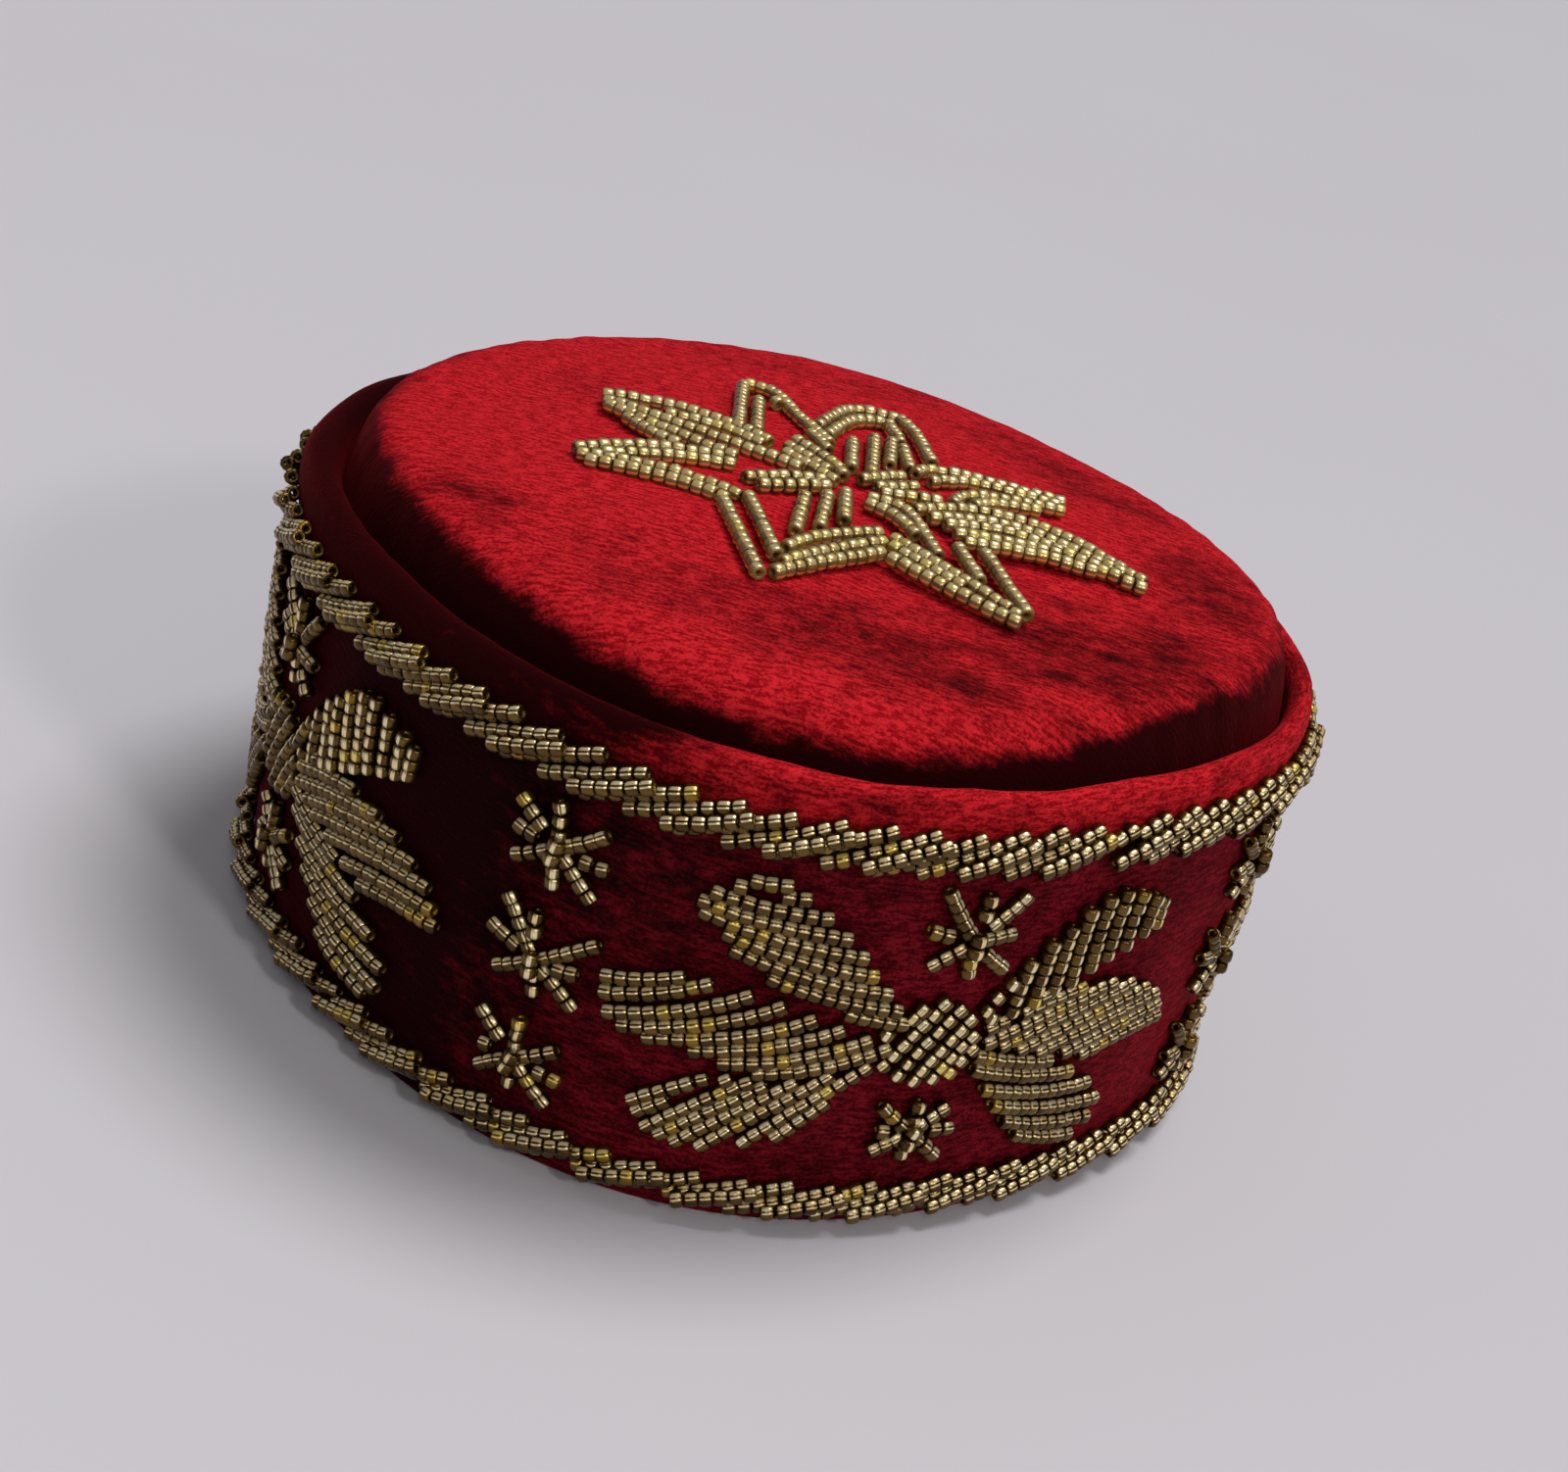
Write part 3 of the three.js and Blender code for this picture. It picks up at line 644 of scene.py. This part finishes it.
def velvet(name, shadow, body, lit, nap_scale):
    """Short pile: fine streaks that run round the cloth, soft patches where it leans over, and painted
    shade from each point's shade.
    """
    s = Shader(name)
    cloth = s.attribute("cloth")
    streaks = s.noise(s.stretched(cloth, STREAK_STRETCH), **STREAKS)
    tufts = s.noise(cloth, **TUFTS)
    patches = s.noise(cloth, nap_scale, **PATCHES)
    brushed = s.noise(s.stretched(cloth, BRUSH_STRETCH), nap_scale * BRUSH_FINENESS, **BRUSHING)
    fleck = s.plus(s.math("MULTIPLY", streaks, STREAK_FLECK), tufts, TUFT_FLECK)
    # Painted shade: each point's shade, with the patches, brushing and flecks of the nap, turns the pile
    # towards its shadow colour
    nap_and_painted_shade = s.math("MULTIPLY_ADD", s.attribute("shade", "Fac"), LEAN_BY_SHADE, LEAN_START)
    nap_and_painted_shade = s.plus(nap_and_painted_shade, patches, LEAN_BY_PATCH)
    nap_and_painted_shade = s.plus(nap_and_painted_shade, brushed, LEAN_BY_BRUSHING)
    nap_and_painted_shade = s.plus(nap_and_painted_shade, fleck, LEAN_BY_FLECK)
    colour = s.blend(s.fade(fleck, *FLECK_FADE), body, lit)
    colour = s.blend(s.fade(nap_and_painted_shade, *LEAN_FADE), colour, shadow)
    relief = s.plus(s.math("MULTIPLY", streaks, STREAK_RELIEF), tufts, TUFT_RELIEF)
    return s.finish(
        Base_Color=colour, Roughness=0.9, Specular_IOR_Level=0.04,
        Sheen_Weight=0.22, Sheen_Roughness=0.4, Sheen_Tint=SHEEN,
        Normal=s.bump(relief, strength=0.8, distance=0.0005))


def bead_glass(name, dark, light, dull, bright, metal, coat, broad, fine):
    """Amber glass over a silvered hole, with a broad and a fine painted highlight line along the string
    for the lamps seen in the hole. Each line reaches as far to each side as the angle given for it, in
    degrees."""
    s = Shader(name)
    tone = s.attribute("tone", "Fac")
    core = s.add("ShaderNodeVectorMath", {"operation": "NORMALIZE"}, _0=s.attribute("core")).outputs[0]
    painted_highlight = 0.0
    # Painted highlights: bright where the hole faces the given directions of the lamps
    for line, half in (("broad_line", broad), ("fine_line", fine)):
        near = s.add("ShaderNodeVectorMath", {"operation": "DOT_PRODUCT"}, _0=core, _1=s.attribute(line))
        outside = math.cos(math.radians(half * (1 + LINE_BLUR)))
        inside = math.cos(math.radians(half * (1 - LINE_BLUR)))
        painted_highlight = s.math("MAXIMUM", s.fade(near.outputs["Value"], outside, inside), painted_highlight)
    painted_highlight = s.math("MULTIPLY", painted_highlight, s.fade(s.attribute("end", "Fac"), *LINE_END, 1.0, 0.0))
    yellow = s.fade(tone, *YELLOW_START)
    glass = s.blend(yellow, s.blend(tone, dark, light), YELLOW_GLASS)
    highlight_colour = s.blend(yellow, s.blend(tone, dull, bright), YELLOW_HIGHLIGHT)
    return s.finish(
        Base_Color=s.blend(painted_highlight, glass, highlight_colour), Metallic=s.fade(painted_highlight, 0.0, 1.0, metal, LINE_METAL),
        Roughness=0.3, Coat_Weight=coat, Coat_Roughness=0.05, Coat_IOR=1.5)


def cloth_ring(arc, up):
    """Places on the cloth of a ring of points at one height."""
    return np.stack([arc, np.full_like(arc, up), np.zeros_like(arc)], -1)


def band_wall(material):
    """The upright band: outer velvet, a rounded fold at the hem, and the inside."""
    angle = turn_in_steps(BAND_AROUND)
    arc = angle * MEAN_RADIUS
    half_wall = WALL / 2
    top = ROLL_LOW + WALL_OVERLAP
    rings, cloth = [], []
    for height in np.linspace(half_wall, top - WALL, INSIDE_RINGS)[::-1]:
        rings.append(on_band(angle, height, -WALL))
        cloth.append(cloth_ring(arc, -height - INSIDE_CLOTH))
    for turn in np.linspace(0, math.pi, HEM_STEPS)[1:-1]:
        proud = -half_wall - half_wall * math.cos(turn)
        height = half_wall - half_wall * math.sin(turn)
        rings.append(on_band(angle, height, proud))
        cloth.append(cloth_ring(arc, -WALL + turn))
    for height in np.linspace(half_wall, top, WALL_RINGS):
        ease = min(1.0, (height - half_wall) / HEM_EASE)
        proud = WALL_RIPPLE * wall_ripple(arc, height) * ease - WALL_SINK
        stitched = math.exp(-((height - HEM_STITCHES) / HEM_STITCH_REACH) ** 2)
        proud += HEM_PUCKER * pucker_noise(arc, height) * stitched
        rings.append(on_band(angle, height, proud))
        cloth.append(cloth_ring(arc, height))
    # Painted shade on the band, from the table of the rim: darkest on its left and front left
    shade = np.broadcast_to(shade_table(RIM_SHADES, angle)[1], (len(rings), BAND_AROUND))
    mesh = velvet_mesh("band_wall", rings, cloth, shade, close_rings=True)
    add_piece("band_wall", mesh, material, ["side_band"])


def rolled_rim_profile(count):
    """The rolled rim from outside to its seam: share across it and height, on one smooth curve."""
    across = (0.0, -0.03, -0.055, -0.035, 0.05, 0.2, 0.42, 0.65, 0.82, 0.93, 1.0, 1.0)
    up = (0.0, 0.2, 0.4, 0.62, 0.82, 0.95, 1.0, 0.96, 0.84, 0.66, 0.42, 0.26)
    at = np.linspace(0, len(across) - 1, count)
    return smooth_through(across, at), smooth_through(up, at)


def rolled_rim(material):
    """The padded roll between the band and the crown, gathered a little along its seam."""
    angle = turn_in_steps(BAND_AROUND)
    arc = angle * MEAN_RADIUS
    rings, cloth, shade = [], [], []
    travelled = 0.0
    on_top, on_side = shade_table(RIM_SHADES, angle)
    for share, rise in zip(*rolled_rim_profile(ROLL_RINGS)):
        height = ROLL_LOW + rise * ROLL_HEIGHT
        outer, inner = on_band(angle, height, 0), on_crown(angle, 1, height)
        ring = outer + (inner - outer) * share
        swell = max(0.0, math.sin(math.pi * min(max(rise, 0), 1) / 2))
        lift = ROLL_RIPPLE * roll_ripple(arc, travelled) * swell
        ring[:, 2] += lift + ROLL_PUCKER * pucker_noise(arc, 0) * max(0.0, share - ROLL_PUCKER_START)
        if rings:
            travelled += float(np.mean(np.linalg.norm(ring - rings[-1], axis=1)))
        rings.append(ring)
        cloth.append(cloth_ring(arc, ROLL_LOW + travelled))
        # Painted shade: the rim's on top, the band's down its outside, and dark in the seam
        outside = smooth_step(share, *OUTSIDE_FADE) * OUTSIDE_SHADE
        hidden = smooth_step(share, *HIDDEN_FADE) * FOLD_SHADE
        shade.append(np.maximum(on_top + (on_side - on_top) * outside, hidden))
    for up, proud in HIDDEN_RINGS:
        ring = on_crown(angle, 1, CROWN_FOOT + up)
        ring[:, 0] += proud * np.cos(angle)
        ring[:, 1] += proud * np.sin(angle)
        rings.append(ring)
        cloth.append(cloth[-1])
        shade.append(np.full_like(arc, FOLD_SHADE))
    mesh = velvet_mesh("rolled_rim", rings, cloth, shade, close_rings=True)
    piece = add_piece("rolled_rim", mesh, material, ["side_band"])


def crown_shade(share, x, y, z, angle):
    """Painted shade of the crown's pile on a ring of points: at its edge, in its seam and in patches."""
    edge_start, edge_share = shade_table(CROWN_EDGE_SHADES, angle)
    reach = share + np.maximum(0, CROWN_TOP - SIDE_START - z) * (SIDE_SHARE / CROWN_RADIUS)
    before, after = EDGE_SHADE_FADE
    dark = smooth_step(reach, edge_start - before, edge_start + after) * edge_share
    dark = np.maximum(dark, smooth_step(share, SEAM_SHADE_START, SEAM_START) * FOLD_SHADE)
    for spot in CROWN_SHADES:
        dark = np.maximum(dark, spot_share(x, y, spot))
    return dark


def crown_cushion(material):
    """The padded crown: a low dome that turns down into the seam, with the dents of its pile."""
    angle = turn_in_steps(CROWN_AROUND)
    flat = np.linspace(PINHOLE, 1 - CROWN_EDGE, CROWN_RINGS)
    edge = 1 - CROWN_EDGE * (1 - np.linspace(0, 1, CROWN_EDGE_RINGS)[1:]) ** EDGE_CROWDING
    rings, cloth, shade = [], [], []
    travelled = np.zeros(CROWN_AROUND)
    for share in np.concatenate([flat, edge]):
        radius = CROWN_RADIUS * roundness(angle) * share
        x = radius * np.cos(angle)
        y = radius * np.sin(angle)
        relief = CROWN_SWELL * crown_swells(x, y) + CROWN_CREASE * crown_creases(x, y)
        z = dome_height(share) + relief * (1 - share ** 8)
        for spot in CROWN_DENTS:
            z -= spot_share(x, y, spot)
        gathered = np.clip((share - GATHER_START) / GATHER_FADE, 0, 1) * (share < SEAM_START)
        pull = CROWN_GATHER * seam_gathers(angle * MEAN_RADIUS, 0 * angle) * gathered
        ring = np.stack([x + CROWN_RIGHT, y - CROWN_FORWARD, z + pull], -1)
        if rings:
            travelled = travelled + np.linalg.norm(ring - rings[-1], axis=1)
        rings.append(ring)
        cloth.append(np.stack([travelled * np.cos(angle), travelled * np.sin(angle), 0 * angle], -1))
        shade.append(crown_shade(share, x, y, z, angle))
    padding_foot = CROWN_TOP - CROWN_PADDING - CROWN_FOOT
    for share, up in CROWN_UNDERSIDE:
        rings.append(on_crown(angle, share, CROWN_FOOT + up * padding_foot))
        cloth.append(rings[-1] * (1, 1, 0))
        shade.append(np.full(CROWN_AROUND, UNDERSIDE_SHADE))
    mesh = velvet_mesh("crown_cushion", rings, cloth, shade, close_rings=False)
    close_pinholes(mesh, CROWN_AROUND, len(rings))
    piece = add_piece("crown_cushion", mesh, material, ["crown_panel"])


def close_pinholes(mesh, around, rings):
    """Fills the small rings left open at the middle, above and below."""
    work = bmesh.new()
    work.from_mesh(mesh)
    work.verts.ensure_lookup_table()
    first = [work.verts[i] for i in range(around)]
    last = [work.verts[(rings - 1) * around + i] for i in range(around)]
    work.faces.new(first[::-1])
    work.faces.new(last)
    bmesh.ops.recalc_face_normals(work, faces=work.faces)
    for face in work.faces:
        face.smooth = True
    work.to_mesh(mesh)
    work.free()


def crown_surface(points, proud):
    """Places points of the crown star's drawing on the dome."""
    x = points[:, 0] + CROWN_STAR_RIGHT
    y = points[:, 1] - CROWN_STAR_FORWARD
    out = np.hypot(x, y) / (CROWN_RADIUS * roundness(np.arctan2(y, x)))
    return np.stack([x + CROWN_RIGHT, y - CROWN_FORWARD, dome_height(out) + proud], -1)


def band_surface(middle_angle, middle_height):
    """Places points of a drawing on the band, round a middle."""
    def place(points, proud):
        return on_band(middle_angle + points[:, 0] / MEAN_RADIUS, middle_height + points[:, 1], proud)
    return place


def spline(points, at):
    """Points of a drawing along a smooth curve through a few of them."""
    points = np.asarray(points, float)
    return np.stack([smooth_through(points[:, k], at) for k in (0, 1)], -1)


def spline_point(points, share):
    return spline(points, np.array([share * (len(points) - 1)]))[0]


def string_path(points):
    """A smooth path through a few points of a drawing, as many short steps."""
    return spline(points, np.linspace(0, len(points) - 1, STRING_STEPS))


def bowed_path(start, end, bow):
    """A path that bows to one side by a share of its length."""
    v = np.linspace(0, 1, BOW_STEPS)[:, None]
    side = np.array([start[1] - end[1], end[0] - start[0]]) * bow
    return start + (end - start) * v + side * 4 * v * (1 - v)


def beads_along(path, rng):
    """Middles and directions of the beads of one string."""
    step = np.linalg.norm(np.diff(path, axis=0), axis=1)
    run = np.concatenate([[0], np.cumsum(step)])

    def on_path(way):
        way = np.clip(way, 0, run[-1])
        return np.stack([np.interp(way, run, path[:, k]) for k in (0, 1)], -1)

    count = max(1, int(round(run[-1] / PITCH)))
    at = (np.arange(count) + 0.5) * run[-1] / count + rng.normal(0, BEAD_SPREAD, count)
    at = np.clip(at, 0, run[-1])
    return on_path(at), unit(on_path(at + PROBE_STRING) - on_path(at - PROBE_STRING))


def sew(paths, rng, lifts):
    """Beads of all strings, leaving out those that would lie in one already sewn on."""
    middles, directions, heights = [], [], []
    for path, lift in zip(paths, lifts):
        for middle, direction in zip(*beads_along(path, rng)):
            if middles and lift == 0.0:
                near = np.linalg.norm(np.array(middles) - middle, axis=1).min()
                if near < CLEAR:
                    continue
            middles.append(middle)
            directions.append(direction)
            heights.append(lift)
    return np.array(middles), np.array(directions), np.array(heights)


def bead_template():
    """One bead about the X axis: its points, the direction out from its hole, how near its ends,
    and its faces."""
    spin = turn_in_steps(BEAD_SIDES)
    section = np.array(BEAD_SECTION)
    outward = np.stack([np.zeros(BEAD_SIDES), np.cos(spin), np.sin(spin)], -1)
    points = section[:, None, 1:2] * outward[None]
    points[..., 0] = section[:, None, 0]
    core = np.broadcast_to(outward, points.shape)
    end = np.broadcast_to(np.abs(section[:, None, 0]), points.shape[:2])
    faces = ring_faces(len(section), BEAD_SIDES, True)
    return points.reshape(-1, 3), core.reshape(-1, 3), end.reshape(-1), faces


TEMPLATE = bead_template()


def bead_mesh(name, place, lines, middles, directions, lifts, rng):
    """All beads of one piece of beadwork as one mesh."""
    count = len(middles)
    seat = SEATED + lifts + rng.normal(0, SEAT_SPREAD, count)
    centre = place(middles, seat)
    out = unit(place(middles, seat + PROBE_OUT) - centre)
    upward = unit(place(middles + (0, PROBE), seat) - centre)
    right = unit(place(middles + (PROBE, 0), seat) - centre)
    axis = unit(place(middles + directions * PROBE, seat) - centre)
    side = np.cross(axis, out)
    tilt_out = rng.normal(0, TILT_SPREAD, (count, 1))
    tilt_aside = rng.normal(0, TILT_SPREAD, (count, 1))
    axis = unit(axis + out * tilt_out + side * tilt_aside)
    up = square_to(out, axis)
    side = np.cross(axis, up)
    spin = rng.uniform(0, FULL_TURN / BEAD_SIDES, count)[:, None]
    first = up * np.cos(spin) + side * np.sin(spin)
    second = side * np.cos(spin) - up * np.sin(spin)
    axes = np.stack([axis, first, second], 1)
    ring, core, end, faces = TEMPLATE
    half_length = PITCH / 2 * BEAD_LENGTH * rng.normal(1.0, SIZE_SPREAD, count)
    radius = BEAD / 2 * rng.normal(1.0, SIZE_SPREAD, count)
    local = ring[None] * np.stack([half_length, radius, radius], -1)[:, None]
    points = centre[:, None] + np.einsum("bvk,bkx->bvx", local, axes)
    values = [
        ("core", "FLOAT_VECTOR", np.einsum("vk,bkx->bvx", core, axes)),
        ("tone", "FLOAT", np.repeat(rng.uniform(0, 1, count), len(ring))),
        ("end", "FLOAT", np.tile(end, count)),
    ]
    for label, (outward, back, aside) in zip(("broad_line", "fine_line"), lines):
        line = square_to(out * outward + upward * back + right * aside, axis)
        values.append((label, "FLOAT_VECTOR", np.repeat(line, len(ring), 0)))
    all_faces = (faces[None] + (np.arange(count) * len(ring))[:, None, None]).reshape(-1, 4)
    return new_mesh(name, points, all_faces, values)


def add_beadwork(node, place, paths, material, lines, seed, lifts=None):
    """Beads along the strings of one node, which stand for it."""
    rng = np.random.default_rng(seed)
    middles, directions, heights = sew(paths, rng, lifts or [0.0] * len(paths))
    name = "beads_" + node
    mesh = bead_mesh(name, place, lines, middles, directions, heights, rng)
    add_piece(name, mesh, material, [node])


def border_paths(low, height, rng):
    """Slanted strings side by side, and one more over every second gap, as in a rope."""
    count = round(FULL_TURN * MEAN_RADIUS / BORDER_STEP)
    step = FULL_TURN * MEAN_RADIUS / count
    rise = height - BEAD
    run = math.sqrt(BORDER_ROW ** 2 - rise ** 2)
    under, over = [], []
    for k in range(count):
        start = np.array([k * step, low + BEAD / 2]) + rng.normal(0, END_SPREAD, 2)
        end = start + np.array([run, rise]) + rng.normal(0, RISE_SPREAD, 2)
        under.append(bowed_path(start, end, rng.normal(BORDER_BOW, BOW_SPREAD)))
        if k % 2 == 0:
            shift = np.array([step / 2, 0])
            inset = (end - start) * ROPE_INSET
            bow = rng.normal(BORDER_BOW, BOW_SPREAD)
            over.append(bowed_path(start + shift + inset, end + shift - inset, bow))
    return under + over, [0.0] * len(under) + [ROPE_LIFT] * len(over)


def flower_paths(rng):
    """Rows of beads across each petal, from one of its curves to the other."""
    scale = np.array([FLOWER_HALF_WIDTH, FLOWER_HALF_HEIGHT])
    paths = []
    for petal in PETALS:
        for k in range(petal["rows"]):
            share = k / (petal["rows"] - 1)
            start = spline_point(petal["starts"], share) * scale + rng.normal(0, END_SPREAD, 2)
            end = spline_point(petal["ends"], share) * scale + rng.normal(0, END_SPREAD, 2)
            paths.append(bowed_path(start, end, petal["bow"]))
    return paths


def toward(degrees):
    angle = math.radians(degrees)
    return np.array([math.cos(angle), math.sin(angle)])


def star_paths(arms, size, rng):
    """Arms that meet at the middle, and a short string sewn over it."""
    paths = []
    for length, degrees in arms:
        run = toward(degrees + rng.normal(0, ARM_TURN_SPREAD))
        reach = length * size * rng.normal(1, ARM_SIZE_SPREAD)
        paths.append(bowed_path(run * STAR_EYE, run * reach, rng.normal(0, ARM_BOW_SPREAD)))
    run = toward(KNOT_TURN + rng.normal(0, KNOT_TURN_SPREAD)) * KNOT_REACH
    paths.append(bowed_path(-run, run, 0.0))
    return paths, [0.0] * len(arms) + [KNOT_LIFT]


def add_borders(glass):
    borders = {"upper_border": UPPER_BORDER, "lower_border": LOWER_BORDER}
    for k, (node, (low, height)) in enumerate(borders.items()):
        seed = BORDER_SEED + k
        paths, lifts = border_paths(low, height, np.random.default_rng(seed))
        place = band_surface(0, 0)
        add_beadwork(node, place, paths, glass, BAND_HIGHLIGHT_LINES, seed + BEAD_SEED_STEP, lifts)


def add_stars(flower, middle, glass):
    """The small stars over, under and beside one flower."""
    for k, (turn, height, size, arms) in enumerate(STARS):
        seed = STAR_SEED + flower * STAR_SEED_STEP + k
        paths, lifts = star_paths(STAR_ARMS[arms], size, np.random.default_rng(seed))
        place = band_surface(middle + math.radians(turn), height)
        node = f"star_{flower + 1}_{k + 1}"
        add_beadwork(node, place, paths, glass, BAND_HIGHLIGHT_LINES, seed + STAR_BEAD_SEED_STEP, lifts)


def add_flowers(glass):
    """The flowers round the band, each with its stars."""
    for flower in range(FLOWER_COUNT):
        middle = FIRST_FLOWER + flower * FULL_TURN / FLOWER_COUNT
        seed = FLOWER_SEED + flower
        paths = flower_paths(np.random.default_rng(seed))
        place = band_surface(middle, FLOWER_MIDDLE)
        add_beadwork(f"flower_{flower + 1}", place, paths, glass, BAND_HIGHLIGHT_LINES, seed + BEAD_SEED_STEP)
        add_stars(flower, middle, glass)


def add_crown_star(glass):
    paths = [string_path(points) for points in CROWN_STRINGS]
    add_beadwork("crown_star", crown_surface, paths, glass, CROWN_HIGHLIGHT_LINES, CROWN_BEAD_SEED)


def add_camera():
    """A camera at the photo's angle: above the front, then turned aside, tipped and rolled."""
    back = Vector((0, -math.cos(CAMERA_ELEVATION), math.sin(CAMERA_ELEVATION)))
    right = Vector((1, 0, 0))
    ahead = -back
    up = right.cross(ahead)
    turned_right = right * math.cos(CAMERA_YAW) - ahead * math.sin(CAMERA_YAW)
    ahead = right * math.sin(CAMERA_YAW) + ahead * math.cos(CAMERA_YAW)
    turned_up = up * math.cos(CAMERA_PITCH) - ahead * math.sin(CAMERA_PITCH)
    ahead = up * math.sin(CAMERA_PITCH) + ahead * math.cos(CAMERA_PITCH)
    across = turned_right * math.cos(CAMERA_ROLL) + turned_up * math.sin(CAMERA_ROLL)
    upward = turned_up * math.cos(CAMERA_ROLL) - turned_right * math.sin(CAMERA_ROLL)
    lens = bpy.data.cameras.new("camera")
    lens.sensor_fit = "HORIZONTAL"
    lens.sensor_width = SENSOR
    lens.lens = CAMERA_FOCUS / PHOTO_WIDTH * SENSOR
    lens.clip_start = 0.01
    lens.clip_end = 20
    camera = bpy.data.objects.new("camera", lens)
    bpy.context.scene.collection.objects.link(camera)
    place = (back * CAMERA_DISTANCE + Vector(OFFSET)) * MM
    turn = Matrix((across, upward, -ahead)).transposed().to_4x4()
    camera.matrix_world = Matrix.Translation(place) @ turn
    bpy.context.scene.camera = camera


def add_floor():
    corners = [(x * FLOOR_REACH, y * FLOOR_REACH, 0) for x, y in ((-1, -1), (1, -1), (1, 1), (-1, 1))]
    mesh = bpy.data.meshes.new("floor")
    mesh.from_pydata(corners, [], [(0, 1, 2, 3)])
    floor = bpy.data.objects.new("floor", mesh)
    bpy.context.scene.collection.objects.link(floor)
    s = Shader("pale_floor")
    place = s.add("ShaderNodeTexCoord").outputs["Object"]
    clouds = s.noise(place, scale=3.0, detail=3.0, roughness=0.5)
    mesh.materials.append(s.finish(Base_Color=s.blend(clouds, *FLOOR_COLOURS), Roughness=0.7))


def add_lamp(lamp, energy, colour, direction):
    """Puts a lamp in the scene that shines against the given direction."""
    lamp.energy = energy
    lamp.color = colour
    light = bpy.data.objects.new(lamp.name, lamp)
    bpy.context.scene.collection.objects.link(light)
    light.rotation_mode = "QUATERNION"
    light.rotation_quaternion = direction.to_track_quat("Z", "Y")
    return light


def add_sun(name, place, spread, strength, colour):
    """A far broad lamp, so that the floor is lit evenly."""
    sun = bpy.data.lights.new(name, "SUN")
    sun.angle = math.radians(spread)
    add_lamp(sun, strength, colour, Vector(place))


def add_panel(name, place, size, power, colour):
    """A soft panel that looks at the cap."""
    panel = bpy.data.lights.new(name, "AREA")
    panel.shape = "RECTANGLE"
    panel.size, panel.size_y = size
    light = add_lamp(panel, power, colour, Vector(place) - Vector(AIM))
    light.location = place


def add_lights():
    add_sun("overhead", place=(0.28, 0.2, 1.0), spread=27.0, strength=1.5, colour=(1.0, 0.98, 0.98))
    add_sun("window", place=(0.7, -0.8, 0.7), spread=7.0, strength=0.55, colour=(1.0, 0.97, 0.94))
    add_panel("front", place=(0.1, -1.2, 0.9), size=(0.12, 0.5), power=1.9, colour=(1.0, 0.97, 0.92))
    world = bpy.data.worlds.new("studio")
    world.use_nodes = True
    background = world.node_tree.nodes["Background"]
    background.inputs["Color"].default_value = (0.82, 0.80, 0.88, 1)
    background.inputs["Strength"].default_value = 0.23
    bpy.context.scene.world = world
    bpy.context.scene.view_settings.view_transform = "Standard"


add_camera()
add_floor()
add_lights()
band_velvet = velvet("band_velvet_pile", **BAND_PILE)
crown_velvet = velvet("crown_velvet_pile", **CROWN_PILE)
band_wall(band_velvet)
rolled_rim(crown_velvet)
crown_cushion(crown_velvet)
wall_glass = bead_glass("gold_bead_glass", **WALL_GLASS)
add_borders(wall_glass)
add_flowers(wall_glass)
add_crown_star(bead_glass("gold_bead_glass_in_full_light", **LIT_CROWN_GLASS))
